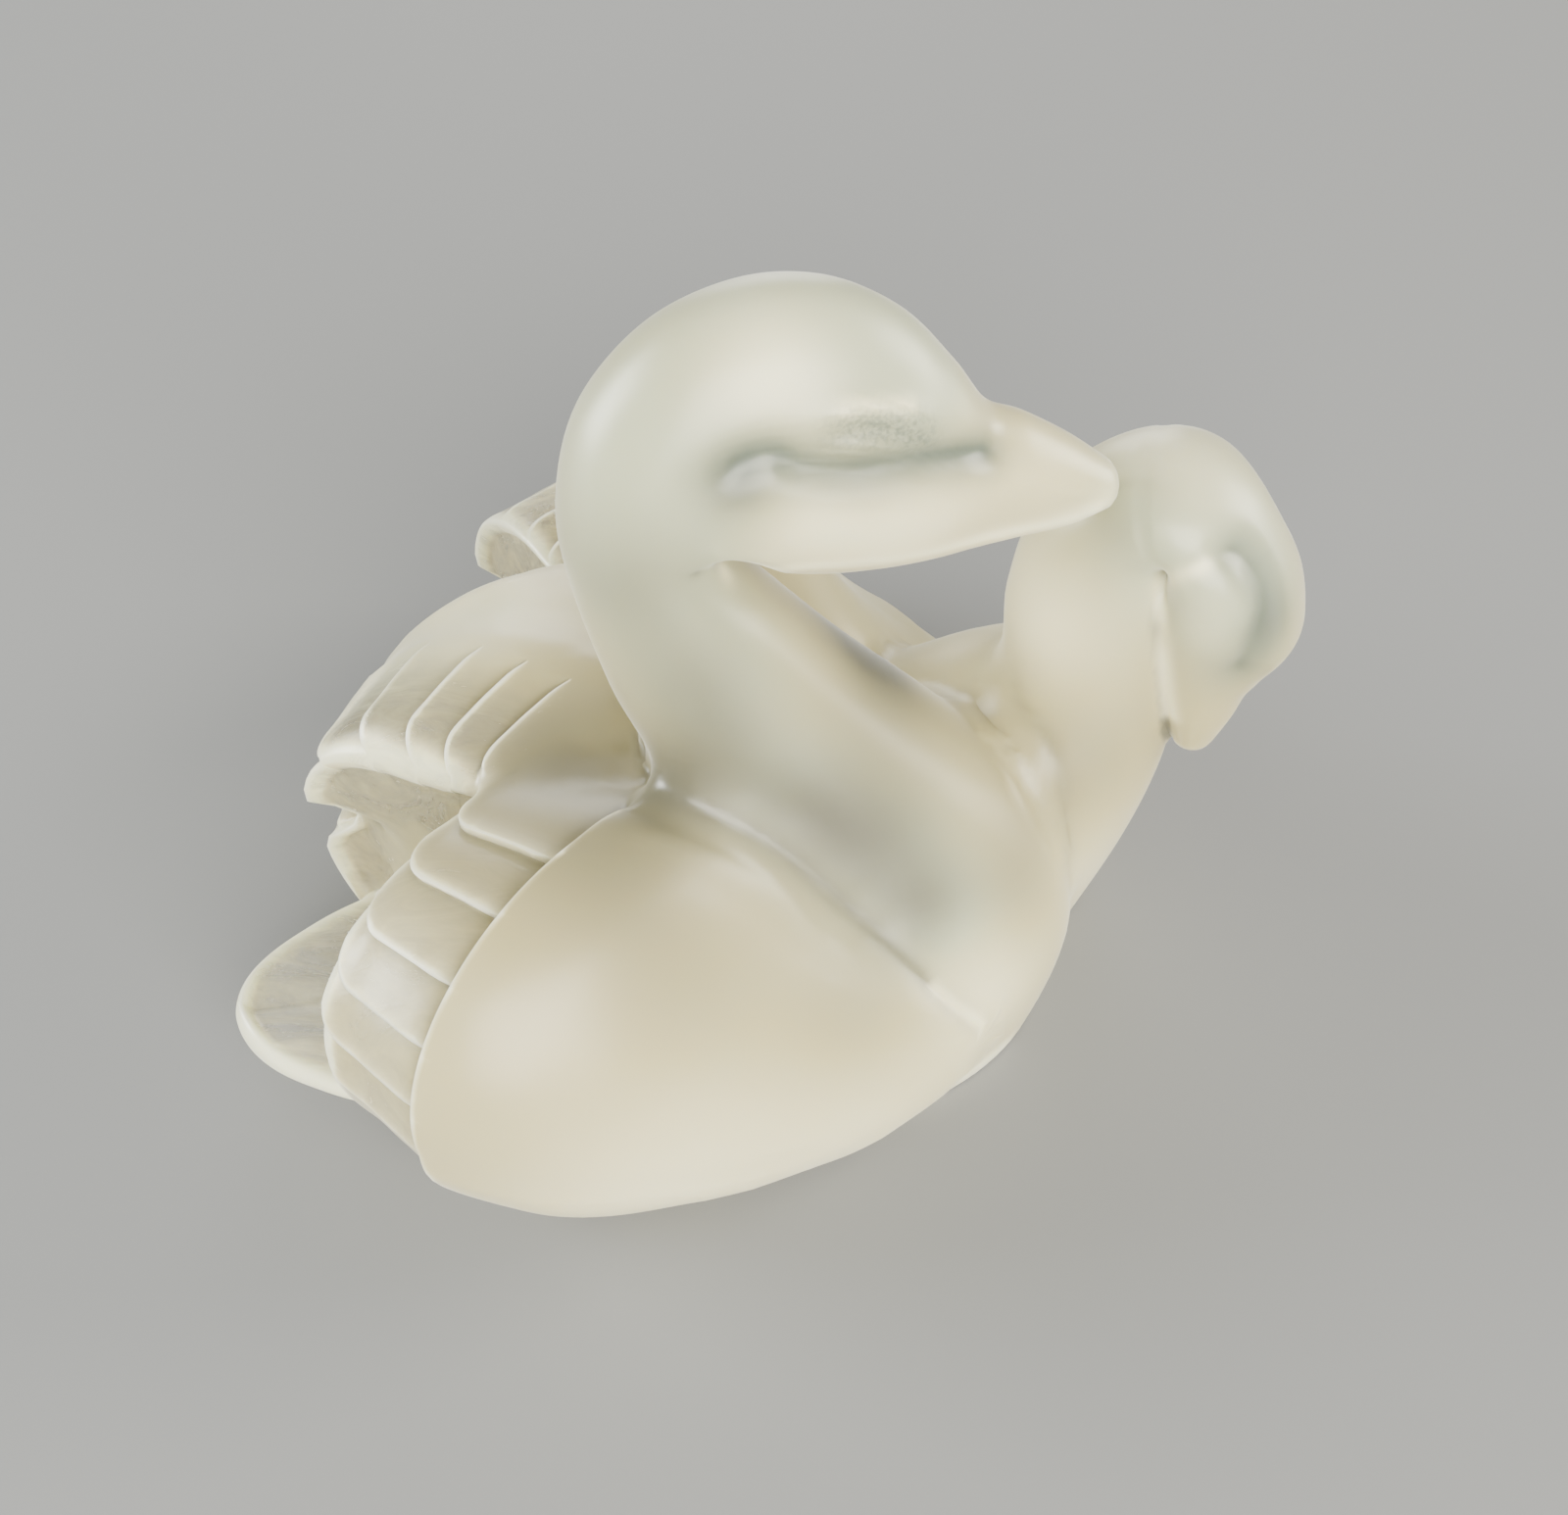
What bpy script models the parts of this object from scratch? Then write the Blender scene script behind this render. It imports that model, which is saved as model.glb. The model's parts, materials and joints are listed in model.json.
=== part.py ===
"""A pair of swans cast in one piece of frosted crystal, one head held high and the other bowed."""
import math

import bmesh
import bpy
from mathutils import Matrix, Vector

# Driving sizes, in metres and degrees
SWAN_LENGTH = 0.075
PANEL_STEP = 0.0014
FEATHER_STEP = 0.0008
FEATHER_COUNT = 6
GROOVE_DEPTH = 0.0010
TAIL_THICKNESS = 0.0048
NEAR_HEADING = 14.35
FAR_HEADING = -14.35

# The carved form is drawn in shares: a swan is 75 form units long
UNIT = SWAN_LENGTH / 75.0
NEAR_PLACE = (-7.4, -10.3)
FAR_PLACE = (-2.8, 10.7)
# How far each swan's right and left wing sit from where the sections below put them
NEAR_WING_SHIFTS = ((0.0, 0.0, 0.0), (0.0, 0.0, 0.0))
FAR_WING_SHIFTS = ((-1.5, 0.0, -1.0), (-1.4, -0.6, -2.8))
WELD = 0.00002

# Fineness of the facets
NECK_SIDES = 24
NECK_STEPS = 3
WING_SIDES = 36
TAIL_SIDES = 16
BODY_SIDES = 20

# Each station of a neck: back or top point, front or under point, half width, all in the swan's own
# upright plane (forward, up). The stations run base, breast, shoulder, neck root, lower neck, neck,
# throat, nape, back of crown, crown, front of crown, forehead, brow end, bill root, bill, bill front, tip.
RAISED_NECK = [
    ((-12.0, -2.0), (31.0, -2.0), 17.6),
    ((-10.0, 10.0), (34.0, 9.0), 17.6),
    ((-6.0, 22.0), (30.5, 20.0), 13.0),
    ((-3.2, 31.0), (22.8, 29.5), 10.1),
    ((-5.8, 40.4), (14.6, 38.6), 8.2),
    ((-7.8, 50.0), (7.4, 47.4), 7.1),
    ((-8.3, 57.4), (3.3, 52.5), 6.9),
    ((-6.1, 65.4), (3.8, 52.3), 7.1),
    ((-0.7, 71.5), (4.6, 51.6), 7.4),
    ((6.0, 74.2), (6.8, 50.3), 7.6),
    ((12.3, 73.7), (11.0, 49.2), 7.4),
    ((17.8, 70.4), (15.5, 48.8), 6.8),
    ((21.7, 65.6), (19.5, 48.8), 5.6),
    ((24.3, 61.6), (23.0, 49.2), 4.6),
    ((27.3, 60.0), (26.6, 49.5), 4.0),
    ((31.0, 57.4), (30.4, 49.8), 3.3),
    ((34.0, 54.8), (33.4, 50.6), 2.2),
]
BOWED_NECK = [
    ((-8.0, -3.0), (30.6, -3.0), 13.6),
    ((0.0, 12.0), (35.3, 11.0), 14.0),
    ((12.5, 22.5), (37.6, 21.0), 11.0),
    ((21.6, 28.0), (37.4, 28.0), 8.3),
    ((22.6, 37.0), (36.6, 35.0), 6.9),
    ((23.8, 43.0), (36.0, 40.0), 6.7),
    ((26.5, 48.6), (35.8, 43.0), 6.8),
    ((31.3, 52.3), (36.1, 43.6), 7.0),
    ((36.6, 53.0), (36.2, 43.4), 7.2),
    ((41.2, 50.6), (35.8, 42.0), 7.4),
    ((44.5, 46.2), (35.4, 40.6), 7.2),
    ((46.5, 41.6), (35.0, 38.4), 6.8),
    ((47.2, 37.0), (34.8, 35.6), 6.0),
    ((45.2, 32.6), (35.2, 32.4), 4.9),
    ((43.9, 30.0), (35.8, 30.0), 4.3),
    ((43.0, 27.0), (36.6, 27.0), 3.7),
    ((41.8, 23.8), (37.6, 24.2), 2.7),
]

# The groove through each eye, with a brow above it and a cheek below: the stations where it starts, is
# full, fades and ends, then where it passes the crown, how it climbs from there, in degrees round the
# neck, and how far above and below it the brow and the cheek are
GROOVE_STATIONS = (7.0, 9.4, 12.6, 14.0)
GROOVE_CROWN = 8.0
GROOVE_CLIMB = (5.0, 1.5)
BROW_RISE = 26.0
CHEEK_DROP = 42.0

# A wing starts at its flat end, which stands at an angle across the swan, from a corner on its middle
# line. Each section, parallel to that end: distance in from the end, centre and half length along the
# section, centre height and half height.
WING_CORNER = (-17.0, 0.0)
WING_END_ANGLE = 40.0
WING_SECTIONS = [
    (0.0, -4.2, 16.4, 15.3, 16.3),
    (4.0, -3.4, 17.2, 15.5, 16.7),
    (8.0, -2.8, 18.3, 15.6, 17.1),
    (12.0, -2.0, 19.3, 15.6, 17.2),
    (17.0, 0.4, 19.9, 14.9, 17.1),
    (22.0, 3.6, 19.6, 13.0, 15.7),
    (28.0, 8.2, 17.6, 10.4, 10.9),
    (33.0, 12.2, 14.2, 8.6, 8.2),
    (35.3, 14.8, 10.8, 8.0, 6.2),
    (37.0, 17.0, 7.0, 7.6, 4.2),
    (38.2, 18.6, 3.0, 7.4, 2.0),
]
WING_SQUARENESS = 0.07
# Where the rings of the flat end are drawn in to, then those of the feather band and of the panel
END_SHRINKS = (0.35, 0.7, 0.9)
BAND_WIDTH = 12.0
BAND_RINGS = (0.0, 4.0, 8.0, 11.99)
PANEL_RINGS = (12.5, 15.0, 18.0, 22.0, 26.0, 29.0, 32.0, 34.5, 36.5, 38.0)
# The panel's raised edge fades out over these distances in from the end, and over these angles
PANEL_FADE = (18.0, 32.0)
PANEL_LOW_ANGLES = (186.0, 225.0)
PANEL_FRONT_ANGLES = (60.0, 85.0)
# The undercut across the wing's end, the lobe set back under it, and the notch it leaves in the left side
UNDERCUT = 3.0
UNDERCUT_HEIGHT = 16.5
UNDERCUT_SPREAD = 1.7
LOBE_SETBACK = 1.2
LOBE_BLEND = 2.0
SIDE_NOTCH = 2.0
SIDE_NOTCH_FADE = (2.0, 10.0)
# The feathers lie between these angles round a section; each has corners at these shares of its width
FEATHER_START = 80.0
FEATHER_END = 184.0
FEATHER_CORNERS = (0.06, 0.5, 0.999)

# The tail: distance along the swan and half width, the level at its root, how it rises and how it is dished
TAIL_OUTLINE = [(-22.0, 13.4), (-27.0, 12.9), (-30.4, 11.7), (-33.6, 9.7), (-37.1, 7.1), (-39.4, 4.6),
                (-40.6, 2.2)]
TAIL_TIP = -41.0
TAIL_LEVEL = 6.0
TAIL_SLOPE = 0.05
TAIL_DISH = 1.1
TAIL_DISH_SPREAD = 0.45
TAIL_DISH_FADE = (1.5, 5.0)

# The body under the wings: distance along the swan, half width and top; it starts under the ground line
BODY_SECTIONS = [(-31.0, 4.0, 9.0), (-27.0, 9.0, 13.0), (-19.0, 13.0, 20.0), (-15.0, 14.0, 29.0),
                 (-6.0, 15.5, 30.0), (6.0, 14.5, 25.0), (18.0, 11.0, 16.0), (26.0, 7.0, 10.0)]
BODY_BOTTOM = -2.0


def curve_value(knots, place):
    """A smooth curve through evenly numbered knots, read at a place between them."""
    last = len(knots) - 1
    index = min(int(place), last - 1)
    share = place - index
    before = knots[max(index - 1, 0)]
    start = knots[index]
    end = knots[index + 1]
    after = knots[min(index + 2, last)]
    pull = (end - before) * 0.5
    push = (after - start) * 0.5
    square = share * share
    cube = square * share
    return (start * (2 * cube - 3 * square + 1) + pull * (cube - 2 * square + share)
            + end * (3 * square - 2 * cube) + push * (cube - square))


def bump(distance, width):
    """A soft bell, one at its middle and near nothing a width away."""
    return math.exp(-(distance / width) ** 2)


def step_up(value, start, end):
    """A smooth rise from nothing at start to one at end."""
    share = min(max((value - start) / (end - start), 0.0), 1.0)
    return share * share * (3.0 - 2.0 * share)


def skin(name, rings, tip=None):
    """A closed mesh over rings of equal count, with a fan at each end, the last one to a tip if given."""
    mesh = bmesh.new()
    sides = len(rings[0])
    rows = [[mesh.verts.new(point * UNIT) for point in ring] for ring in rings]
    for row, following in zip(rows, rows[1:]):
        for side in range(sides):
            turn = (side + 1) % sides
            mesh.faces.new((row[side], row[turn], following[turn], following[side]))
    for row, point in ((rows[0], None), (rows[-1], tip)):
        if point is None:
            point = sum((vert.co for vert in row), Vector()) / sides / UNIT
        hub = mesh.verts.new(point * UNIT)
        for side in range(sides):
            mesh.faces.new((row[side], row[(side + 1) % sides], hub))
    bmesh.ops.recalc_face_normals(mesh, faces=mesh.faces)
    data = bpy.data.meshes.new(name)
    mesh.to_mesh(data)
    mesh.free()
    return data


def head_relief(station, angle):
    """How far the head's surface moves out, in form units: eye groove, brow and cheek."""
    start, full, fade, end = GROOVE_STATIONS
    ahead = station - GROOVE_CROWN
    climb, curl = GROOVE_CLIMB
    above = math.degrees(angle) - climb * ahead - curl * ahead ** 2
    depth = GROOVE_DEPTH / UNIT * step_up(station, start, full) * (1.0 - step_up(station, fade, end))
    groove = -depth * bump(above, 13.0)
    brow = 0.5 * depth * bump(above - BROW_RISE, 14.0)
    cheek = 0.6 * depth * bump(above + CHEEK_DROP, 26.0)
    return groove + brow + cheek


def neck_ring(stations, place):
    """One ring of a neck, in the plane through its back point, its front point and the side line."""
    outer = Vector([curve_value([station[0][axis] for station in stations], place) for axis in (0, 1)])
    inner = Vector([curve_value([station[1][axis] for station in stations], place) for axis in (0, 1)])
    width = curve_value([station[2] for station in stations], place)
    centre = (outer + inner) / 2
    reach = (outer - inner) / 2
    ring = []
    for side in range(NECK_SIDES):
        turn = 2 * math.pi * side / NECK_SIDES
        height = math.asin(math.sin(turn))
        swell = 1.0 + head_relief(place, height) / width
        along = centre + reach * math.sin(turn)
        ring.append(Vector((along.x, width * swell * math.cos(turn), along.y)))
    return ring


def neck(name, stations):
    """Breast, neck, head and bill in one skin."""
    count = (len(stations) - 1) * NECK_STEPS
    rings = [neck_ring(stations, step / NECK_STEPS) for step in range(count + 1)]
    back, front, width = stations[-1]
    previous = Vector(stations[-2][0]) + Vector(stations[-2][1])
    middle = (Vector(back) + Vector(front)) / 2
    tip = middle + (middle - previous / 2).normalized() * width * 0.6
    return skin(name, rings, Vector((tip.x, 0.0, tip.y)))


def feather_relief(inward, degrees, feathered):
    """How far the wing's surface moves out at a distance in from its end: feathers, then the panel."""
    if not feathered:
        return 0.0
    if inward >= BAND_WIDTH:
        around = step_up(degrees, *PANEL_FRONT_ANGLES) * (1.0 - step_up(degrees, *PANEL_LOW_ANGLES))
        return PANEL_STEP / UNIT * around * (1.0 - step_up(inward, *PANEL_FADE))
    if degrees <= FEATHER_START or degrees >= FEATHER_END:
        return 0.0
    share = (degrees - FEATHER_START) / (FEATHER_END - FEATHER_START) * FEATHER_COUNT
    return -FEATHER_STEP / UNIT * (1.0 - share % 1.0) if share >= 1.0 else 0.0


def wing_angles():
    """The angles of a wing section's corners, with a close pair at each feather's lower edge."""
    width = (FEATHER_END - FEATHER_START) / FEATHER_COUNT
    angles = [FEATHER_START]
    for feather in range(FEATHER_COUNT):
        angles += [FEATHER_START + (feather + corner) * width for corner in FEATHER_CORNERS]
    spare = WING_SIDES - len(angles)
    rest = 360.0 - (FEATHER_END - FEATHER_START)
    angles += [FEATHER_END + rest * (step + 0.5) / spare for step in range(spare)]
    return angles


def wing_ring(inward, side, feathered, shrink=1.0):
    """One section of a wing, or of its flat end drawn in towards the middle."""
    places = [section[0] for section in WING_SECTIONS]
    index = max(i for i, place in enumerate(places) if place <= inward)
    index = min(index, len(places) - 2)
    place = index + (inward - places[index]) / (places[index + 1] - places[index])
    middle, length, level, height = (
        curve_value([section[column] for section in WING_SECTIONS], place) for column in range(1, 5))
    turn = math.radians(WING_END_ANGLE)
    along = Vector((math.cos(turn), math.sin(turn)))
    across = Vector((math.sin(turn), -math.cos(turn)))
    ring = []
    for degrees in wing_angles():
        angle = math.radians(degrees)
        relief = feather_relief(inward, degrees, feathered)
        corner_swell = -math.sin(2 * angle) if 90.0 < degrees < 180.0 else 0.0
        scale = shrink * (1.0 + WING_SQUARENESS * corner_swell)
        run = middle + (length + relief) * math.cos(angle) * scale
        rise = level + (height + relief) * math.sin(angle) * scale
        if side < 0.0 and math.cos(angle) < 0.0:
            fade = shrink * (1.0 - step_up(inward, *SIDE_NOTCH_FADE))
            run += SIDE_NOTCH * fade * bump(rise - UNDERCUT_HEIGHT, UNDERCUT_SPREAD)
        recess = 0.0
        if inward == 0.0:
            recess = (UNDERCUT - LOBE_SETBACK) * bump(rise - UNDERCUT_HEIGHT, UNDERCUT_SPREAD)
            recess += LOBE_SETBACK * (1.0 - step_up(rise, UNDERCUT_HEIGHT, UNDERCUT_HEIGHT + LOBE_BLEND))
        corner = Vector(WING_CORNER) + along * run + across * (inward + recess)
        ring.append(Vector((corner.x, corner.y * side, rise)))
    return ring


def wing(name, side, feathered=True):
    """One folded wing: a raised smooth panel, a band of lapped feathers and a flat end."""
    rings = [wing_ring(0.0, side, feathered, shrink) for shrink in END_SHRINKS]
    rings += [wing_ring(inward, side, feathered) for inward in BAND_RINGS + PANEL_RINGS]
    return skin(name, rings)


def body(name):
    """The body under the wings, from the rump to the breast."""
    rings = []
    for place, half_width, top in BODY_SECTIONS:
        ring = []
        for side in range(BODY_SIDES):
            turn = 2 * math.pi * side / BODY_SIDES
            level = (top + BODY_BOTTOM) / 2 + (top - BODY_BOTTOM) / 2 * math.sin(turn)
            ring.append(Vector((place, half_width * math.cos(turn), level)))
        rings.append(ring)
    return skin(name, rings)


def tail(name):
    """The tail blade: a rounded tongue with a raised rim, dished along its middle."""
    root = TAIL_OUTLINE[0][0]
    rings = []
    for place, half_width in TAIL_OUTLINE:
        level = TAIL_LEVEL + TAIL_SLOPE * (root - place)
        dish = TAIL_DISH * step_up(half_width, *TAIL_DISH_FADE)
        ring = []
        for side in range(TAIL_SIDES):
            turn = 2 * math.pi * side / TAIL_SIDES
            across = math.cos(turn)
            rise = 0.5 * TAIL_THICKNESS / UNIT * math.sin(turn)
            if rise > 0:
                rise -= dish * bump(across, TAIL_DISH_SPREAD)
            ring.append(Vector((place, half_width * across, level + rise)))
        rings.append(ring)
    return skin(name, rings, Vector((TAIL_TIP, 0.0, TAIL_LEVEL + TAIL_SLOPE * (root - TAIL_TIP))))


def crystal():
    """Frosted lead crystal: pale, cool and slightly see-through."""
    material = bpy.data.materials.new("frosted_crystal")
    material.use_nodes = True
    shader = material.node_tree.nodes["Principled BSDF"]
    shader.inputs["Base Color"].default_value = (0.86, 0.85, 0.78, 1.0)
    shader.inputs["Roughness"].default_value = 0.45
    shader.inputs["Metallic"].default_value = 0.0
    shader.inputs["IOR"].default_value = 1.52
    return material


def swan_forms(title, stations, heading, place, wing_shifts, feathered_right):
    """The meshes that one swan is fused from, turned to its heading and moved to its place."""
    wings = [wing(title + "_right_wing", 1.0, feathered_right), wing(title + "_left_wing", -1.0)]
    for data, shift in zip(wings, wing_shifts):
        data.transform(Matrix.Translation(Vector(shift) * UNIT))
    forms = [neck(title + "_neck", stations), body(title + "_body"), tail(title + "_tail")] + wings
    spot = Matrix.Translation((place[0] * UNIT, place[1] * UNIT, 0.0))
    for data in forms:
        data.transform(spot @ Matrix.Rotation(math.radians(heading), 4, "Z"))
    return forms


def fuse(name, forms):
    """One object whose mesh is the union of all the forms."""
    first, *others = forms
    whole = bpy.data.objects.new(name, first)
    bpy.context.scene.collection.objects.link(whole)
    group = bpy.data.collections.new("forms")
    bpy.context.scene.collection.children.link(group)
    for data in others:
        group.objects.link(bpy.data.objects.new(data.name, data))
    union = whole.modifiers.new("join the forms", "BOOLEAN")
    union.operation = "UNION"
    union.solver = "EXACT"
    union.operand_type = "COLLECTION"
    union.collection = group
    bpy.context.view_layer.update()
    shape = whole.evaluated_get(bpy.context.evaluated_depsgraph_get())
    whole.data = bpy.data.meshes.new_from_object(shape)
    whole.modifiers.clear()
    for form in list(group.objects):
        bpy.data.objects.remove(form, do_unlink=True)
    bpy.data.collections.remove(group)
    return whole


def grind_flat(data):
    """Grinds the mesh flat at the level it stands on."""
    mesh = bmesh.new()
    mesh.from_mesh(data)
    bmesh.ops.remove_doubles(mesh, verts=mesh.verts, dist=WELD)
    every = mesh.verts[:] + mesh.edges[:] + mesh.faces[:]
    cut = bmesh.ops.bisect_plane(mesh, geom=every, plane_co=(0, 0, 0), plane_no=(0, 0, -1), clear_outer=True)
    rim = [item for item in cut["geom_cut"] if isinstance(item, bmesh.types.BMEdge)]
    bmesh.ops.triangle_fill(mesh, use_beauty=True, use_dissolve=False, edges=rim, normal=(0, 0, -1))
    bmesh.ops.triangulate(mesh, faces=mesh.faces)
    bmesh.ops.recalc_face_normals(mesh, faces=mesh.faces)
    mesh.to_mesh(data)
    mesh.free()


def centre_on_origin(data):
    """Moves the mesh so that the pair stands centred over the origin."""
    low = [min(vert.co[axis] for vert in data.vertices) for axis in (0, 1)]
    high = [max(vert.co[axis] for vert in data.vertices) for axis in (0, 1)]
    data.transform(Matrix.Translation((-(low[0] + high[0]) / 2, -(low[1] + high[1]) / 2, 0.0)))


def main():
    """Builds the pair."""
    for item in list(bpy.data.objects):
        bpy.data.objects.remove(item, do_unlink=True)
    near = swan_forms("near", RAISED_NECK, NEAR_HEADING, NEAR_PLACE, NEAR_WING_SHIFTS, True)
    far = swan_forms("far", BOWED_NECK, FAR_HEADING, FAR_PLACE, FAR_WING_SHIFTS, False)
    whole = fuse("swan_pair", near + far)
    grind_flat(whole.data)
    centre_on_origin(whole.data)
    whole.data.shade_smooth()
    whole.data.set_sharp_from_angle(angle=math.radians(35.0))
    whole.data.materials.clear()
    whole.data.materials.append(crystal())


main()
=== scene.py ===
"""A frosted crystal swan pair, carved finely over its solid, on a pale floor in soft studio light.

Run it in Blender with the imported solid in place. Lengths in the carving are in millimetres, in each
swan's own frame: forward, left, up. The mesh that it makes is in metres.
"""
import json
import math
from contextlib import contextmanager

import bmesh
import bpy
import numpy as np
from bpy.props import FloatProperty, FloatVectorProperty, PointerProperty
from mathutils import Matrix, Vector
from mathutils.bvhtree import BVHTree
from mathutils.kdtree import KDTree

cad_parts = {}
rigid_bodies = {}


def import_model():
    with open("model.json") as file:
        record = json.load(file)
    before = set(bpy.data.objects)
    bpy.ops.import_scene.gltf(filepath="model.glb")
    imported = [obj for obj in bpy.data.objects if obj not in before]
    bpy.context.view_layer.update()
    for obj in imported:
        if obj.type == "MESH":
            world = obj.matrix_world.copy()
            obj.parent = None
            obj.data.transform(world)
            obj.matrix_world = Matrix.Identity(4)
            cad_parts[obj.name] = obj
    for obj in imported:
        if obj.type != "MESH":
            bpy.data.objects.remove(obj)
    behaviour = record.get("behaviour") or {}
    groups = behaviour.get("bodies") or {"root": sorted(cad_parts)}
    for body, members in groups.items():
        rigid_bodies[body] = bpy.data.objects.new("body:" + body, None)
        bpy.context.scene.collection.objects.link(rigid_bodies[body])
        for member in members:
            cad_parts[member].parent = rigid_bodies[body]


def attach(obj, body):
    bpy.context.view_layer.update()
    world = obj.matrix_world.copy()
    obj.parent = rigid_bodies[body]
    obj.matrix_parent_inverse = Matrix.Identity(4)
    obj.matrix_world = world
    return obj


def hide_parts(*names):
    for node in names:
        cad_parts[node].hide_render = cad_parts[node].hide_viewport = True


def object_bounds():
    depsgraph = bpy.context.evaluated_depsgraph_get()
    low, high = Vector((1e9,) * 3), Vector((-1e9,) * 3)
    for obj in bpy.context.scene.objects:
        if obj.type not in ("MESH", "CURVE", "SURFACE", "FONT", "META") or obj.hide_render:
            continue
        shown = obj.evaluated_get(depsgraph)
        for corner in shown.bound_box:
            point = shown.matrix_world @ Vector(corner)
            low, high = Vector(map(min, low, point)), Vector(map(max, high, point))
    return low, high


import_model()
CAD_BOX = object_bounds()

bl_info = {
    "name": "Frosted Crystal Swan Pair",
    "version": (1, 0, 0),
    "blender": (4, 5, 0),
    "location": "3D View > Sidebar > Swan Pair",
    "description": "Carves and finishes a pair of frosted crystal swans and sets their studio",
    "category": "Add Mesh",
}

MM = 0.001
NODE = "swan_pair"
SHARP_ANGLE = 50.0

# Where each swan stands, and how far it is turned, in degrees
NEAR_PLACE = (-7.4, -10.3)
FAR_PLACE = (-2.8, 10.7)
HEADING = 14.35

# How finely the forms are drawn: rings along each, and corners round a ring
LOWER_NECK_RINGS, UPPER_NECK_RINGS, NECK_SIDES = 56, 140, 96
BODY_RINGS, BODY_SIDES = 30, 56
WEB_RINGS, WEB_SIDES = 36, 40
TAIL_RINGS, TAIL_SIDES = 78, 120
SMOOTH_WING_SIDES = 54

# Stations of a neck: back or top point, front or under point, half width
RAISED_NECK = [
    ((-12.0, -2.0), (31.0, -2.0), 17.6),
    ((-10.0, 10.0), (34.0, 9.0), 17.6),
    ((-6.0, 22.0), (30.5, 20.0), 13.0),
    ((-3.2, 31.0), (22.8, 29.5), 10.1),
    ((-5.8, 40.4), (14.6, 38.6), 8.2),
    ((-7.8, 50.0), (7.4, 47.4), 7.1),
    ((-8.3, 57.4), (3.3, 52.5), 6.9),
    ((-6.1, 65.4), (3.8, 52.3), 7.1),
    ((-0.7, 71.5), (4.6, 51.6), 7.4),
    ((6.0, 74.2), (6.8, 50.3), 7.6),
    ((12.3, 73.7), (11.0, 49.2), 7.4),
    ((17.8, 70.4), (15.5, 48.8), 6.8),
    ((21.7, 65.6), (19.5, 48.8), 5.6),
    ((24.3, 61.6), (23.0, 49.2), 4.6),
    ((27.3, 60.0), (26.6, 49.5), 4.0),
    ((31.0, 57.4), (30.4, 49.8), 3.3),
    ((34.0, 54.8), (33.4, 50.6), 2.2),
]
BOWED_NECK = [
    ((-8.0, -3.0), (30.6, -3.0), 13.6),
    ((0.0, 12.0), (35.3, 11.0), 14.0),
    ((12.5, 22.5), (37.6, 21.0), 11.0),
    ((21.6, 28.0), (37.4, 28.0), 8.3),
    ((22.6, 37.0), (36.6, 35.0), 6.9),
    ((23.8, 43.0), (36.0, 40.0), 6.7),
    ((26.5, 48.6), (35.8, 43.0), 6.8),
    ((31.3, 52.3), (36.1, 43.6), 7.0),
    ((36.6, 53.0), (36.2, 43.4), 7.2),
    ((41.2, 50.6), (35.8, 42.0), 7.4),
    ((44.5, 46.2), (35.4, 40.6), 7.2),
    ((46.5, 41.6), (35.0, 38.4), 6.8),
    ((47.2, 37.0), (34.8, 35.6), 6.0),
    ((45.2, 32.6), (35.2, 32.4), 4.9),
    ((43.9, 30.0), (35.8, 30.0), 4.3),
    ((43.0, 27.0), (36.6, 27.0), 3.7),
    ((41.8, 23.8), (37.6, 24.2), 2.7),
]

# Lines carved on a head, as (station, degrees above the side line) points: height, half width in mm
RAISED_HEAD_LINES = [
    ("groove", -0.80, 1.15, [(8.3, 8), (8.65, 12), (9.05, 13), (9.45, 8), (10.0, 6), (10.55, 9),
                             (11.3, 17), (12.0, 27), (12.6, 38), (13.0, 46)]),
    ("eye fold", -0.40, 2.4, [(7.9, 5), (8.2, 8), (9.05, 13), (10.0, 7), (10.55, 10), (11.3, 18),
                              (12.0, 28)]),
    ("brow", 0.42, 1.1, [(9.5, 25), (9.95, 30), (10.45, 33), (11.0, 33), (11.5, 32)]),
    ("eye", -0.30, 0.9, [(9.7, 20), (10.1, 23), (10.5, 25), (11.0, 26.5), (11.4, 28)]),
    ("lower lid", 0.28, 0.8, [(9.6, 14), (10.1, 15), (10.6, 17), (11.2, 23), (11.7, 29)]),
    ("cheek back", -0.18, 2.2, [(7.8, -30), (7.8, -18), (7.9, -4), (8.1, 4)]),
    ("cheek", 0.45, 3.4, [(8.7, -18), (9.6, -16), (10.6, -14), (11.6, -8), (12.4, 2)]),
    ("bill side", 0.25, 1.5, [(12.6, 16), (13.6, 22), (14.6, 24)]),
    ("bill line", -0.16, 0.6, [(14.3, 3), (15.0, 2), (15.7, 3)]),
]
BOWED_HEAD_LINES = [
    ("cheek top", -0.35, 1.3, [(8.75, 2), (8.9, 14), (9.0, 30), (9.15, 42)]),
    ("groove", -0.85, 1.6, [(9.15, 40), (9.4, 48), (9.8, 51), (10.2, 50.5), (10.65, 46), (11.15, 36),
                            (11.55, 29), (12.0, 23), (12.5, 24)]),
    ("cheek", 0.45, 3.2, [(9.4, 4), (9.9, 12), (10.4, 18), (10.9, 12), (11.4, 6)]),
    ("brow", 0.30, 2.0, [(10.3, 66), (11.2, 58), (11.9, 48), (12.6, 46)]),
]

# The lines that are also painted, as shade down the carved groove and in the eye, and how much wider the
# painted shade is than the cut. One under the half width below, in millimetres, is painted at its full depth
# of shade.
PAINTED_LINES = {"groove": 1.5, "eye": 1.4}
FULL_PAINT_WIDTH = 1.15
# A drawn line: its steps from knot to knot, how its ends fade, in knots, how far from its own middle it
# reaches, and how far past the swan's middle
LINE_STEPS = 12
LINE_FADE = (-0.3, 1.0)
LINE_REACH = 24.0
PAST_MIDDLE = 0.6
# The station where the breast ends and the neck is drawn more finely, and where the bowed neck turns to head
FINE_STATION = 7
BOWED_NECK_END = 7.8
BOWED_HEAD_START = 6.9
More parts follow.
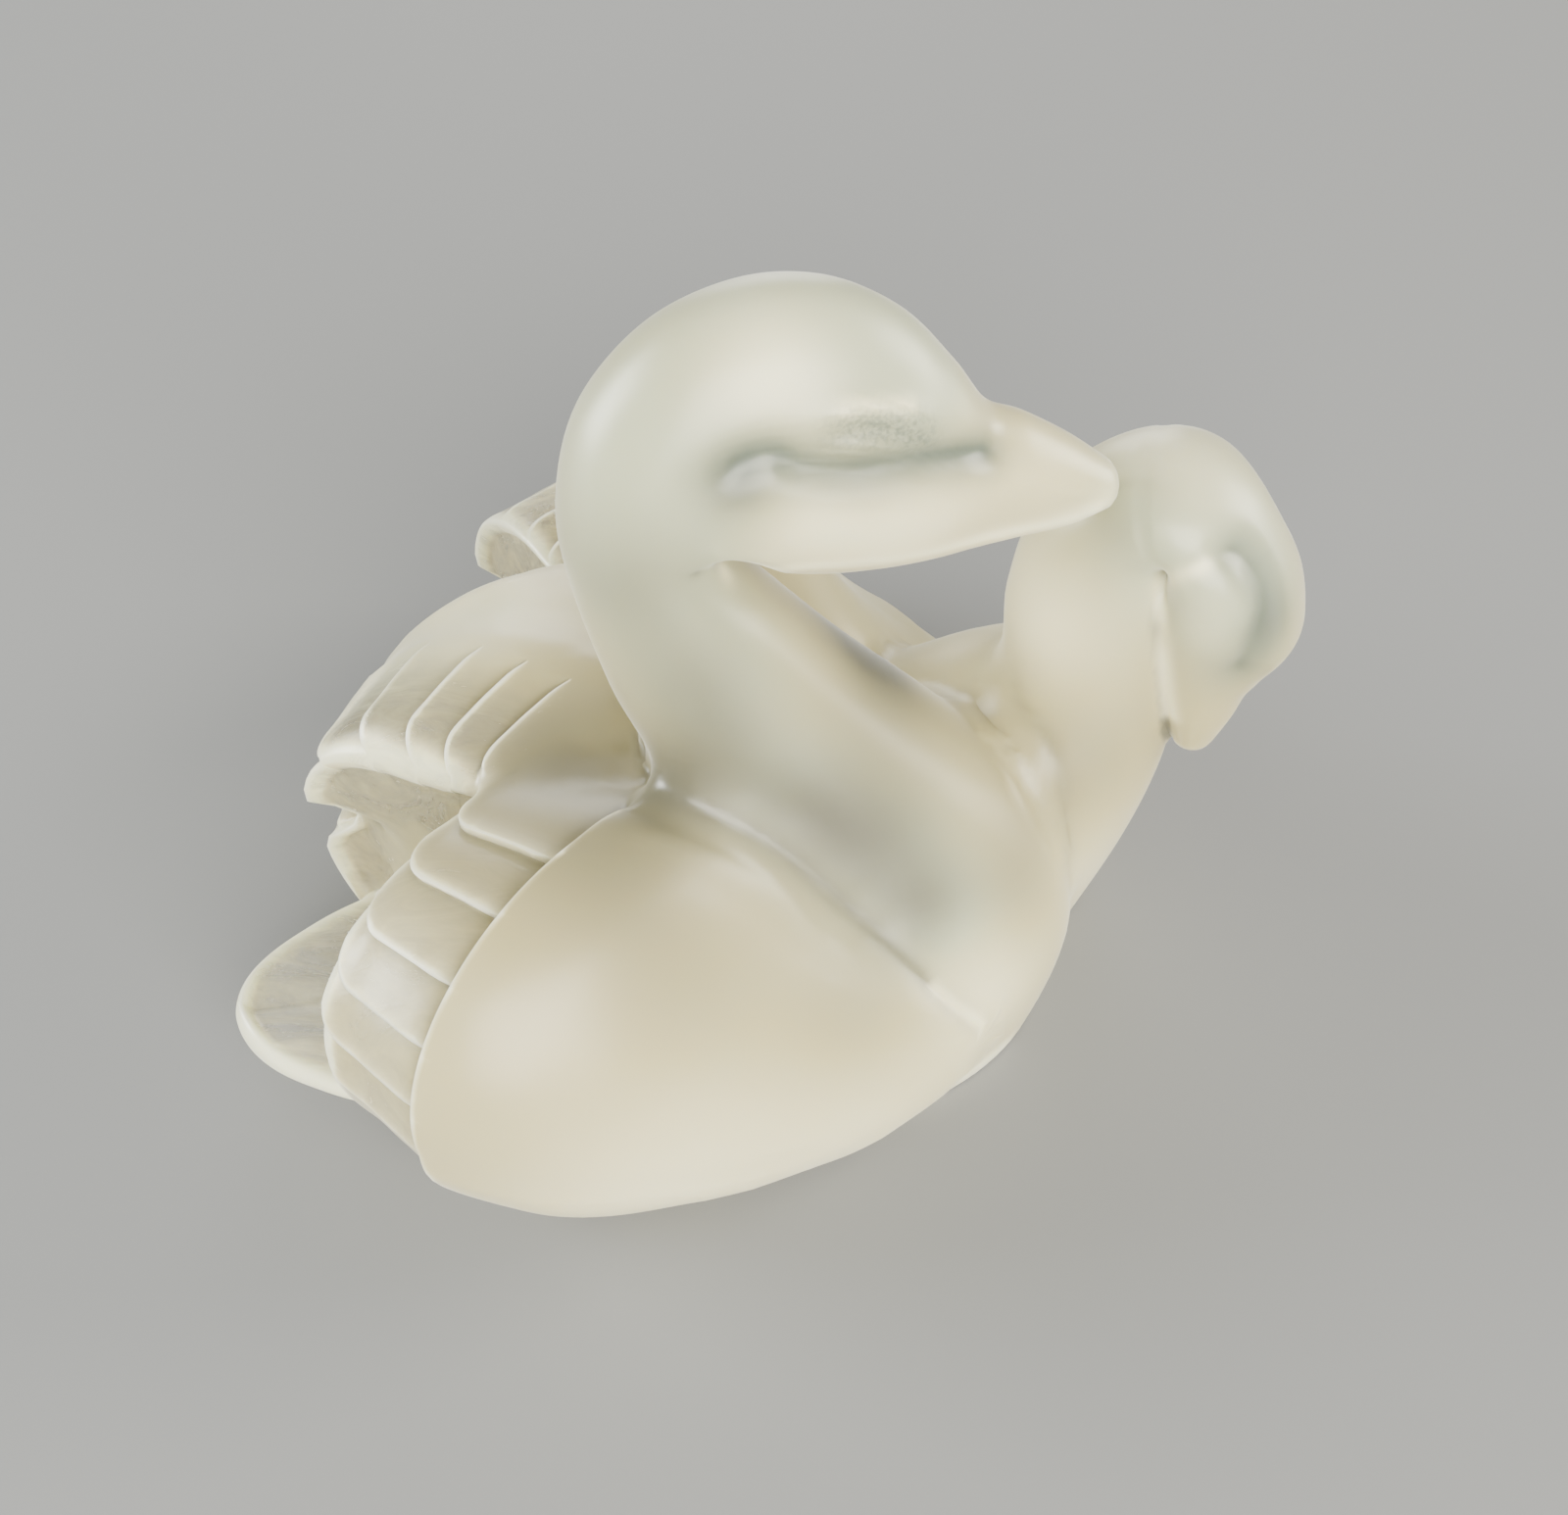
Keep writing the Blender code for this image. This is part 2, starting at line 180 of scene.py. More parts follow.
# How far a skin goes in under the next one of the same neck, and over how many stations
TUCK_DEPTH = 0.08
TUCK_LENGTH = 0.55
# The rounded end of a bill: how many rings back its direction is taken from, its reach past the last ring,
# as a share of its half width, and its rings, each with its share of that reach and of the last ring's size
BILL_END_FROM = 8
BILL_END_REACH = 0.6
BILL_END_RINGS = ((0.35, 0.88), (0.7, 0.62), (0.9, 0.36))

# A wing, from its flat end at an angle across the swan: distance in, centre and half length along the
# section, centre height and half height
WING_CORNER = (-17.0, 0.0)
WING_END_ANGLE = 40.0
WING_SECTIONS = [
    (0.0, -4.2, 16.4, 15.3, 16.3), (4.0, -3.4, 17.2, 15.5, 16.7), (8.0, -2.8, 18.3, 15.6, 17.1),
    (12.0, -2.0, 19.3, 15.6, 17.2), (17.0, 0.4, 19.9, 14.9, 17.1), (22.0, 3.6, 19.6, 13.0, 15.7),
    (28.0, 8.2, 17.6, 10.4, 10.9), (33.0, 12.2, 14.2, 8.6, 8.2), (35.3, 14.8, 10.8, 8.0, 6.2),
    (37.0, 17.0, 7.0, 7.6, 4.2), (38.2, 18.6, 3.0, 7.4, 2.0),
]
WING_SQUARENESS = 0.07
BAND_WIDTH = 12.45
# Lower edges of the feathers round the section, in degrees, then how far each bends up at its tip, where the
# corners across a feather are, in shares of it, and how far in that bend starts and how long it is
FEATHER_EDGES = {1: (76.0, 95.5, 114.0, 132.0, 148.0, 166.0, 189.0),
                 -1: (70.0, 81.0, 93.5, 106.5, 123.5, 146.0, 186.0)}
FEATHER_BENDS = {1: (18.0, 22.0, 24.0, 18.0, 12.0, 9.0, 6.0),
                 -1: (6.0, 8.0, 8.0, 6.0, 4.0, 4.0, 4.0)}
FEATHER_SHARES = (0.0, 0.035, 0.07, 0.13, 0.22, 0.34, 0.48, 0.62, 0.76, 0.87, 0.945, 0.98, 0.998)
TIP_BEND_START = 4.2
TIP_BEND_LENGTH = 3.9
# The pale ridge that a feather raises just before its edge: height, and place and half width in shares
FEATHER_RIDGE = (0.16, 0.93, 0.10)
# Distances in of a wing's rings, crowded where its feathers start and end
WING_ROWS = np.concatenate([
    (0.0, 0.1, 0.25, 0.45, 0.7, 1.0, 1.3, 1.7, 2.1, 2.5, 2.9, 3.4, 4.0, 4.8, 5.6, 6.5, 7.4, 8.3, 9.2, 10.1,
     11.0, 11.7, 12.2, 12.36, 12.46, 12.56, 12.7, 12.9, 13.2, 13.7),
    np.arange(14.4, 33.0, 0.8), np.linspace(33.2, 38.0, 12)])
# How polished each wing's band of feathers is, next to its end, between which distances in that fades, how
# wide its painted highlight along the rim is, and how dark the painted shadow under its laps is
BAND_POLISH = {1: 0.4, -1: 0.85}
POLISH_FADES = {1: (12.2, 12.5), -1: (4.5, 11.5)}
RIM_WIDTHS = {1: 1.4, -1: 2.0}
LAP_SHADOW_PAINT = {1: 0.9, -1: 0.5}
# In shares of a feather: how wide the painted shadow line at its start is, and where the painted highlight
# line by its edge is
LAP_SHADE_WIDTH = 0.10
PALE_LINE_AT, PALE_LINE_WIDTH = 0.96, 0.06
# How fast a feather falls away from its edge, as a power
LAP_CURVE = 1.35
# Each wing: how far it sits from where it is drawn, how far its end curls down, how proud its smooth panel
# stands and the ramp up to it, how deep its feathers lap, and the distances in where the laps rise and fall
WING_FORMS = {
    ("near", 1): ((0.0, 0.0, 0.0), 3.2, 1.35, (0.12, 0.28), 0.85, (-1.6, 0.5), (13.0, 16.0)),
    ("near", -1): ((0.0, 0.0, 0.0), 3.2, 0.35, (1.6, 2.6), 0.85, (-0.6, 1.6), (9.5, 12.5)),
    ("far", 1): ((-1.5, 0.0, -1.0), 3.2, 0.0, (0.12, 0.28), 0.0, (-0.3, 2.0), (13.0, 16.0)),
    ("far", -1): ((-1.4, -0.6, -3.7), 0.5, 1.35, (0.12, 0.28), 0.6, (-0.1, 2.6), (13.0, 16.0)),
}
# Where the smooth panel stands proud and where the band is polished, in degrees round the section, and how
# far in the panel sinks back
PANEL_AROUND = ((60.0, 85.0), (186.0, 225.0))
POLISH_AROUND = ((62.0, 84.0), (196.0, 215.0))
PANEL_FADE = (18.0, 32.0)
# How far the whole end is hollowed, where in degrees its curl is deepest and how far that spreads
END_HOLLOW = 0.35
END_CURL_AT, END_CURL_SPREAD = 104.0, 34.0
# How far in the end's edge is rounded, and the rings of the recess inside it: inset and sink. The last few
# are painted pale, as a painted highlight.
END_ROUND = 3.2
RECESS_SHRINKS = (0.2, 0.4, 0.6, 0.78, 0.9)
RECESS_RINGS = ((1.5, 1.0), (1.15, 0.62), (0.8, 0.36), (0.4, 0.12), (0.12, 0.02))
RECESS_PALE_RINGS, RECESS_PALENESS = 4, 0.8
# The undercut between a wing's end and its tail, and the ledge under it: height, spread and depths
UNDERCUT_HEIGHT = 16.5
UNDERCUT_SPREAD = 1.7
UNDERCUT_DEPTH = 1.8
LEDGE_DEPTH = 1.2
UNDERCUT_FADE = (0.6, 3.6)
# The hook on a left wing's inner side: depth, height and half width, and the distances in where it fades
HOOK_DEPTH, HOOK_HEIGHT, HOOK_WIDTH = 3.4, 15.9, 1.9
HOOK_FADE = (1.0, 7.0)

# Half widths of the tail at even steps of the square root of the distance from its tip
TAIL_WIDTHS = [0.0, 1.95, 4.2, 6.5, 8.6, 10.7, 12.35, 13.3]
TAIL_STEP = 0.6228
TAIL_TIP = -41.0
TAIL_HALF_THICKNESS = 2.4
TAIL_TIP_ROUND = 2.2
# The middle of the tail's height, its slope, and where along the tail that is measured
TAIL_LEVEL, TAIL_SLOPE, TAIL_LEVEL_AT = 6.0, 0.05, -22.0
# The tail's rim, from outer to inner side, the hollow inside it, and the valley in that: depth and width
TAIL_RIM = (0.4, 2.1)
TAIL_HOLLOW = 0.45
VALLEY_DEPTH, VALLEY_WIDTH = 1.25, 2.4
# The last ring's step from the tip, how full the blade's section is, as a power, how softly the edges at its
# sides and tip meet, how much of the hollow its underside has, how polished its rim is, how dark the shade
# painted in its valley is
TAIL_LAST_STEP = 0.12
TAIL_FULLNESS = 0.8
TAIL_EDGE_BLEND = 1.2
TAIL_UNDER_SHARE = 0.35
TAIL_RIM_POLISH = 0.1
VALLEY_SHADE = 0.8
# The web under the bowed bill: height, middle, reach to front and back, half width
BILL_WEB = [(43.6, 36.0, 0.4, 0.4), (42.4, 36.0, 2.4, 3.0), (40.4, 36.2, 2.8, 4.2), (37.6, 36.4, 2.6, 3.8),
            (34.6, 36.5, 2.2, 2.8), (33.0, 36.6, 0.4, 0.4)]
# How far the bowed neck's own front stands out, at its stations, to meet the bill
NECK_FRONT_PROUD = [0.0, 0.0, 0.0, 0.4, 1.1, 1.2, 0.8, 0.3, 0.0]

# Sections of a body: place along it, half width, top. Its bottom is ground off, by a block of this size.
BODY_SECTIONS = [(-31.0, 4.0, 9.0), (-27.0, 9.0, 13.0), (-19.0, 13.0, 20.0), (-15.0, 14.0, 29.0),
                 (-6.0, 15.5, 27.0), (6.0, 14.5, 18.0), (18.0, 11.0, 10.0), (26.0, 7.0, 6.0)]
BODY_BOTTOM = -2.0
GRIND_SIZE = 300.0

# What is painted on a form: how polished it is, the painted shade in a groove, the painted shade in the eye,
# a painted highlight on a rim and the painted shadow line under a lap
PAINTS = ("polish", "groove", "eye", "rim", "lap")
PLAIN = (0.0, 0.0, 0.0, 0.0, 0.0)


def spline(knots, places):
    """A smooth curve through evenly numbered knots, read at many places between them."""
    knots = np.asarray(knots, float)
    places = np.asarray(places, float)
    last = len(knots) - 1
    index = np.clip(places.astype(int), 0, last - 1)
    share = (places - index)[:, None]
    before, start, end, after = (knots[np.clip(index + step, 0, last)] for step in (-1, 0, 1, 2))
    square = share ** 2
    cube = share ** 3
    return (start * (2 * cube - 3 * square + 1) + (end - before) * 0.5 * (cube - 2 * square + share)
            + end * (3 * square - 2 * cube) + (after - start) * 0.5 * (cube - square))


def trace_path(path, fineness, fade):
    """A smooth line through a path's knots, and how strong it is all along, faded at its ends."""
    steps = np.linspace(0, len(path) - 1, fineness * len(path))
    return spline(path, steps), step_up(np.minimum(steps, steps[-1] - steps), *fade)


def bump(distance, width):
    """A soft bell, one at its middle and near nothing a width away."""
    return np.exp(-(distance / width) ** 2)


def step_up(value, start, end):
    """A smooth rise from nothing at start to one at end."""
    share = np.clip((value - start) / (end - start), 0.0, 1.0)
    return share * share * (3.0 - 2.0 * share)


def between(value, rise, fall):
    """One between a rise and a fall, each given as where it starts and ends, and nothing outside."""
    return step_up(value, *rise) * (1.0 - step_up(value, *fall))


def circle(sides):
    """Angles round a full turn."""
    return np.linspace(0, 2 * math.pi, sides, endpoint=False)


def grid_normals(points):
    """Outward normals of a grid of rings, each ring closed."""
    along = np.gradient(points, axis=0)
    around = np.roll(points, -1, axis=1) - np.roll(points, 1, axis=1)
    normals = np.cross(along, around)
    normals /= np.maximum(np.linalg.norm(normals, axis=2, keepdims=True), 1e-9)
    outward = ((points - points.mean(axis=1, keepdims=True)) * normals).sum()
    return normals if outward > 0 else -normals


def neck_skin(stations, lines, first, last):
    """Breast, neck, head and bill as a grid of rings, with the lines of the head carved in.

    first and last are the stations that the skin runs between. A skin is its rings, the point that its last
    ring closes to, or None for that ring's middle, and what is painted on it.
    """
    end = len(stations) - 1
    knots = [(*back, *front, width) for back, front, width in stations]
    places = np.concatenate([np.linspace(0, FINE_STATION, LOWER_NECK_RINGS, endpoint=False),
                             np.linspace(FINE_STATION, end, UPPER_NECK_RINGS)])
    places = places[(places >= first) & (places <= last)]

    def surface(where, turn):
        row = spline(knots, where)
        centre = (row[:, 0:2] + row[:, 2:4]) / 2
        reach = (row[:, 0:2] - row[:, 2:4]) / 2
        lift = np.sin(turn)
        return np.stack([centre[:, 0] + reach[:, 0] * lift, row[:, 4] * np.cos(turn),
                         centre[:, 1] + reach[:, 1] * lift], axis=-1)

    grid = np.stack([surface(places, np.full(len(places), turn)) for turn in circle(NECK_SIDES)], axis=1)
    normals = grid_normals(grid)
    relief = np.zeros(grid.shape[:2])
    paint = np.zeros((*grid.shape[:2], len(PAINTS)))
    mirrored = grid * np.array([1.0, -1.0, 1.0])
    for name, height, width, path in lines:
        trace, strength = trace_path(path, LINE_STEPS, LINE_FADE)
        line = surface(trace[:, 0], math.pi - np.radians(trace[:, 1]))
        for side in (grid, mirrored):
            flat = side.reshape(-1, 3)
            close = np.abs(flat - line.mean(axis=0)).max(axis=1) < LINE_REACH
            near = np.nonzero(close & (flat[:, 1] < PAST_MIDDLE))[0]
            gap = np.linalg.norm(flat[near, None] - line[None], axis=2)
            relief.reshape(-1)[near] += height * (bump(gap, width) * strength[None]).max(axis=1)
            # the groove and the eye are also painted as shade, wider than they are cut
            if name in PAINTED_LINES:
                shade = (bump(gap, PAINTED_LINES[name] * width) * strength[None]).max(axis=1)
                layer = paint.reshape(-1, len(PAINTS))[:, PAINTS.index(name)]
                layer[near] = np.maximum(layer[near], min(FULL_PAINT_WIDTH / width, 1.0) * shade)
    grid += normals * relief[..., None]
    # where two skins of one neck overlap, each goes in under the other
    under = np.zeros(len(places))
    if first > 0:
        under += 1.0 - step_up(places, first, first + TUCK_LENGTH)
    if last < end:
        under += step_up(places, last - TUCK_LENGTH, last)
    grid -= TUCK_DEPTH * normals * under[:, None, None]
    if last < end:
        return grid, None, paint
    tip = grid[-1].mean(axis=0)
    forward = tip - grid[-BILL_END_FROM].mean(axis=0)
    tip = tip + forward / np.linalg.norm(forward) * stations[-1][2] * BILL_END_REACH
    # the last ring is drawn in over a rounded end
    rings = [grid]
    for share, shrink in BILL_END_RINGS:
        middle = grid[-1].mean(axis=0)
        rings.append((middle + (grid[-1] - middle) * shrink + (tip - middle) * share)[None])
        paint = np.concatenate([paint, paint[-1:]])
    return np.concatenate(rings), tip, paint


def web_skin():
    """The web of crystal that joins the bowed bill to the neck behind it."""
    rows = spline(BILL_WEB, np.linspace(0, len(BILL_WEB) - 1, WEB_RINGS))
    turns = circle(WEB_SIDES)
    rings = [np.stack([middle + reach * np.cos(turns), half_width * np.sin(turns),
                       np.full_like(turns, level)], axis=-1) for level, middle, reach, half_width in rows]
    return np.array(rings), None, PLAIN


def body_skin():
    """The body under the wings, from the rump to the breast."""
    rows = spline(BODY_SECTIONS, np.linspace(0, len(BODY_SECTIONS) - 1, BODY_RINGS))
    turns = circle(BODY_SIDES)
    rings = []
    for place, half_width, top in rows:
        level = (top + BODY_BOTTOM) / 2 + (top - BODY_BOTTOM) / 2 * np.sin(turns)
        rings.append(np.stack([np.full_like(turns, place), half_width * np.cos(turns), level], axis=-1))
    return np.array(rings), None, PLAIN


def tail_skin():
    """The tail blade: a rounded tongue with a raised rim and a valley along its middle."""
    steps = np.linspace(len(TAIL_WIDTHS) - 1.0, TAIL_LAST_STEP, TAIL_RINGS)
    half_widths = spline(np.array(TAIL_WIDTHS)[:, None], steps)[:, 0]
    turns = circle(TAIL_SIDES)
    across, upward = np.cos(turns), np.sin(turns)
    rings, inside, middle = [], [], []
    for step, half_width in zip(steps, half_widths):
        from_tip = (step * TAIL_STEP) ** 2
        round_tip = math.sqrt(1.0 - max(1.0 - from_tip / TAIL_TIP_ROUND, 0.0) ** 2)
        rise = TAIL_HALF_THICKNESS * round_tip * np.sign(upward) * np.abs(upward) ** TAIL_FULLNESS
        # how far each place is from the blade's edge, at the sides or at the tip
        sides = half_width * (1.0 - np.abs(across))
        front = 1.25 * from_tip - 0.05 * (across * half_width) ** 2
        from_edge = -TAIL_EDGE_BLEND * np.log(np.exp(-sides / TAIL_EDGE_BLEND)
                                              + np.exp(-front / TAIL_EDGE_BLEND))
        inner = step_up(from_edge, *TAIL_RIM)
        valley = VALLEY_DEPTH * np.exp(-np.abs(across) * half_width / VALLEY_WIDTH)
        drop = inner * (TAIL_HOLLOW + valley)
        rise = np.where(upward > 0, rise - drop, rise + TAIL_UNDER_SHARE * drop)
        place = TAIL_TIP + from_tip
        level = TAIL_LEVEL + TAIL_SLOPE * (TAIL_LEVEL_AT - place)
        rings.append(np.stack([np.full_like(turns, place), half_width * across, level + rise], axis=-1))
        inside.append(inner)
        middle.append(inner * valley / VALLEY_DEPTH)
    inside, middle = np.array(inside), np.array(middle)
    nothing = np.zeros_like(inside)
    polish = TAIL_RIM_POLISH + (1.0 - TAIL_RIM_POLISH) * inside
    # painted highlight on the rim, and painted shade down the valley
    paint = np.stack([polish, nothing, nothing, 1.0 - inside, VALLEY_SHADE * middle], axis=-1)
    return np.array(rings), None, paint


def wing_section(inward):
    """Centre and half length along a section, centre height and half height, at each distance in."""
    sections = np.array(WING_SECTIONS)
    index = np.clip(np.searchsorted(sections[:, 0], inward, side="right") - 1, 0, len(sections) - 2)
    place = index + (inward - sections[index, 0]) / (sections[index + 1, 0] - sections[index, 0])
    return spline(sections[:, 1:], place)


def once_round(degrees):
    """Angles brought back under a full turn."""
    return np.where(degrees > 360.0, degrees - 360.0, degrees)


def wing_skin(side, end_curl, panel_height, panel_ramp, lap_depth, lap_rise, lap_fall):
    """One folded wing: a raised smooth panel, a band of lapped feathers and a recessed end."""
    feathered = lap_depth > 0.0
    edges, bends = FEATHER_EDGES[side], FEATHER_BENDS[side]
    feather, share = np.array([(number, share) for number in range(len(edges) - 1)
                               for share in FEATHER_SHARES]).T
    feather = feather.astype(int)
    rest = np.linspace(edges[-1], 360.0 + edges[0], SMOOTH_WING_SIDES)[:-1]
    turn = math.radians(WING_END_ANGLE)
    along = np.array([math.cos(turn), math.sin(turn)])
    across = np.array([math.sin(turn), -math.cos(turn)])

    def angles_at(inward):
        start = min(max((TIP_BEND_START - inward) / TIP_BEND_LENGTH, 0.0), 1.0)
        bend = 1.0 - math.sqrt(max(1.0 - start ** 2, 0.0))
        starts = np.array([edge - turn * bend for edge, turn in zip(edges, bends)])
        lapped = starts[feather] + (starts[feather + 1] - starts[feather]) * share
        blend = (rest - rest[0]) / (rest[-1] - rest[0])
        fixed = rest + (starts[-1] - edges[-1]) * (1 - blend) + (starts[0] - edges[0]) * blend
        return np.concatenate([lapped, fixed])

    def ring(inward, inset=0.0, shrink=1.0, sink=0.0):
        middle, length, level, height = wing_section(np.array([inward]))[0]
        degrees = angles_at(inward)
        angle = np.radians(degrees)
        wrapped = once_round(degrees)
        relief = np.zeros(len(degrees))
        if feathered and inward < BAND_WIDTH:
            ridge, ridge_at, ridge_width = FEATHER_RIDGE
            lap = (1.0 - share) ** LAP_CURVE * lap_depth
            lap -= ridge * bump(share - ridge_at, ridge_width) * step_up(inward, 0.0, 1.0)
            relief[:len(share)] = np.where(feather == 0, 0.0, -lap) * between(inward, lap_rise, lap_fall)
        if feathered:
            panel = panel_height * between(wrapped, *PANEL_AROUND) * (1.0 - step_up(inward, *PANEL_FADE))
            relief += panel * step_up(inward, BAND_WIDTH - panel_ramp[0], BAND_WIDTH + panel_ramp[1])
        swell = np.where((wrapped > 90.0) & (wrapped < 180.0), -np.sin(2 * angle), 0.0)
        scale = shrink * (1.0 + WING_SQUARENESS * swell)
        run = middle + (length + relief - inset) * np.cos(angle) * scale
        rise = level + (height + relief - inset) * np.sin(angle) * scale
        if side < 0 and feathered:
            hook = HOOK_DEPTH * shrink * (1.0 - step_up(inward, *HOOK_FADE))
            run += np.where(np.cos(angle) < 0.0, hook * bump(rise - HOOK_HEIGHT, HOOK_WIDTH), 0.0)
        recess = UNDERCUT_DEPTH * bump(rise - UNDERCUT_HEIGHT, UNDERCUT_SPREAD)
        recess += LEDGE_DEPTH * (1.0 - step_up(rise, UNDERCUT_HEIGHT, UNDERCUT_HEIGHT + 2.0))
        recess *= 1.0 - step_up(inward, *UNDERCUT_FADE)
        if side > 0:
            recess *= step_up(np.cos(angle) * scale, -0.75, -0.35)
        deep = inward + recess + sink
        points = np.array(WING_CORNER) + run[:, None] * along + deep[:, None] * across
        return np.stack([points[:, 0], points[:, 1] * side, rise], axis=-1)

    wrapped = once_round(angles_at(0.0))
    curl = END_HOLLOW + end_curl * bump(wrapped - END_CURL_AT, END_CURL_SPREAD)
    inset, sink = RECESS_RINGS[0]
    rings = [ring(0.0, curl + inset, shrink, sink) for shrink in RECESS_SHRINKS]
    rings += [ring(0.0, curl + inset, 1.0, sink) for inset, sink in RECESS_RINGS]
    ends = len(rings)
    for inward in WING_ROWS:
        fall = 1.0 - math.sqrt(1.0 - (1.0 - min(inward / END_ROUND, 1.0)) ** 2)
        rings.append(ring(inward, curl * fall))
    polish, rim, shade, nothing = np.zeros((4, len(rings), len(curl)))
    if feathered:
        around = between(wrapped, *POLISH_AROUND)
        polish[:ends] = 1.0
        kept = BAND_POLISH[side] * (1.0 - step_up(WING_ROWS, *POLISH_FADES[side]))
        polish[ends:] = kept[:, None] * around
        # painted highlight: a pale rim along the end of the wing, and on the last rings of its recess
        pale = 1.0 - step_up(WING_ROWS, 0.5 * RIM_WIDTHS[side], RIM_WIDTHS[side])
        rim[ends:] = pale[:, None] * around
        rim[ends - RECESS_PALE_RINGS:ends] = RECESS_PALENESS * around
        # each feather's own edge gets a painted highlight, and the next one a painted shadow just under it
        strength = between(WING_ROWS, lap_rise, lap_fall) * (WING_ROWS < BAND_WIDTH) * LAP_SHADOW_PAINT[side]
        shade[ends:, :len(share)] = strength[:, None] * (bump(share, LAP_SHADE_WIDTH) * (feather > 0))
        pale = strength[:, None] * bump(share - PALE_LINE_AT, PALE_LINE_WIDTH)
        rim[ends:, :len(share)] = np.maximum(rim[ends:, :len(share)], pale)
    return np.array(rings), None, np.stack([polish, nothing, nothing, rim, shade], axis=-1)


@contextmanager
def edited(data):
    """A mesh opened for edits and written back after them."""
    mesh = bmesh.new()
    mesh.from_mesh(data)
    yield mesh
    mesh.to_mesh(data)
    mesh.free()


def skin_mesh(name, rings, end):
    """A closed mesh over a grid of rings, with a fan at each end."""
    count, sides = rings.shape[:2]
    end = rings[-1].mean(axis=0) if end is None else end
    points = np.concatenate([rings.reshape(-1, 3), [rings[0].mean(axis=0), end]])
    hub = count * sides
    faces = []
    for base in range(0, hub - sides, sides):
        for side in range(sides):
            turn = (side + 1) % sides
            faces.append((base + side, base + turn, base + sides + turn, base + sides + side))
    for side in range(sides):
        turn = (side + 1) % sides
        faces.append((turn, side, hub))
        faces.append((hub - sides + side, hub - sides + turn, hub + 1))
    data = bpy.data.meshes.new(name)
    data.from_pydata(points.tolist(), [], faces)
    with edited(data) as mesh:
        bmesh.ops.recalc_face_normals(mesh, faces=mesh.faces)
        bmesh.ops.triangulate(mesh, faces=mesh.faces)
    return data


def swan_forms():
    """Every form that the pair is fused from, in millimetres, with what is painted at its corners."""
    forms = []
    for title, stations, lines, heading, place in (
            ("near", RAISED_NECK, RAISED_HEAD_LINES, HEADING, NEAR_PLACE),
            ("far", BOWED_NECK, BOWED_HEAD_LINES, -HEADING, FAR_PLACE)):
        end = len(stations) - 1
        skins = {"body": body_skin(), "tail": tail_skin()}
        if title == "near":
            skins["neck"] = neck_skin(stations, lines, 0, end)
        else:
            throat = [(back, (front[0] + proud, front[1]), width)
                      for (back, front, width), proud in zip(stations, NECK_FRONT_PROUD)]
            skins["neck"] = neck_skin(throat + stations[len(throat):], lines, 0, BOWED_NECK_END)
            skins["head"] = neck_skin(stations, lines, BOWED_HEAD_START, end)
            skins["web"] = web_skin()
        for side, word in ((1, "right"), (-1, "left")):
            shift, *form = WING_FORMS[title, side]
            rings, tip, paint = wing_skin(side, *form)
            skins[word + "_wing"] = (rings + np.array(shift), tip, paint)
        spot = Matrix.Translation((*place, 0.0)) @ Matrix.Rotation(math.radians(heading), 4, "Z")
        for word, (rings, tip, paint) in skins.items():
            data = skin_mesh(title + "_" + word, rings, tip)
            data.transform(spot)
            values = np.zeros((len(data.vertices), len(PAINTS)))
            values[:-2] = (np.zeros((*rings.shape[:2], len(PAINTS))) + paint).reshape(-1, len(PAINTS))
            values[-2], values[-1] = values[0], values[-3]
            forms.append((data, values))
    return forms


def combine(whole, operation, forms):
    """Joins forms to an object's mesh, or takes them from it."""
    group = bpy.data.collections.new("forms")
    bpy.context.scene.collection.children.link(group)
    for data in forms:
        group.objects.link(bpy.data.objects.new(data.name, data))
    step = whole.modifiers.new("combine", "BOOLEAN")
    step.operation = operation
    step.solver = "MANIFOLD"
    step.operand_type = "COLLECTION"
    step.collection = group
    bpy.context.view_layer.update()
    shape = whole.evaluated_get(bpy.context.evaluated_depsgraph_get())
    whole.data = bpy.data.meshes.new_from_object(shape)
    whole.modifiers.clear()
    for form in list(group.objects):
        bpy.data.objects.remove(form, do_unlink=True)
    bpy.data.collections.remove(group)


def fuse(name, forms):
    """One object whose mesh is the union of all the forms, ground flat where it stands."""
    first, *others = forms
    whole = bpy.data.objects.new(name, first)
    bpy.context.scene.collection.objects.link(whole)
    combine(whole, "UNION", others)
    combine(whole, "DIFFERENCE", [grinding_block()])
    with edited(whole.data) as mesh:
        bmesh.ops.triangulate(mesh, faces=mesh.faces)
    return whole


def grinding_block():
    """What is ground off to make the pair stand flat: a block under its standing plane."""
    data = bpy.data.meshes.new("grinding_block")
    with edited(data) as mesh:
        bmesh.ops.create_cube(mesh, size=GRIND_SIZE)
        bmesh.ops.translate(mesh, verts=mesh.verts, vec=(0, 0, -GRIND_SIZE / 2))
        bmesh.ops.triangulate(mesh, faces=mesh.faces)
    return data


def short_edges(mesh, mark):
    """Which corner goes into which, to take out short edges on the seams, none beside another."""
    short = [edge for edge in mesh.edges
             if (edge.verts[0][mark] or edge.verts[1][mark]) and edge.calc_length() < SHORTEST_EDGE]
    short.sort(key=lambda edge: edge.calc_length())
    used = set()
    joined = {}
    for edge in short:
        one, other = edge.verts
        if min(one.co.z, other.co.z) < FOOT_HEIGHT:
            continue
        near_one = {link.other_vert(one) for link in one.link_edges}
        near_other = {link.other_vert(other) for link in other.link_edges}
        around = {item.index for item in near_one | near_other}
        if len(near_one & near_other) != 2 or around & used:
            continue
        keep, drop = (one, other) if one[mark] else (other, one)
        if one[mark] and other[mark]:
            keep.co = (one.co + other.co) / 2
        joined[drop] = keep
        used |= around
    return joined


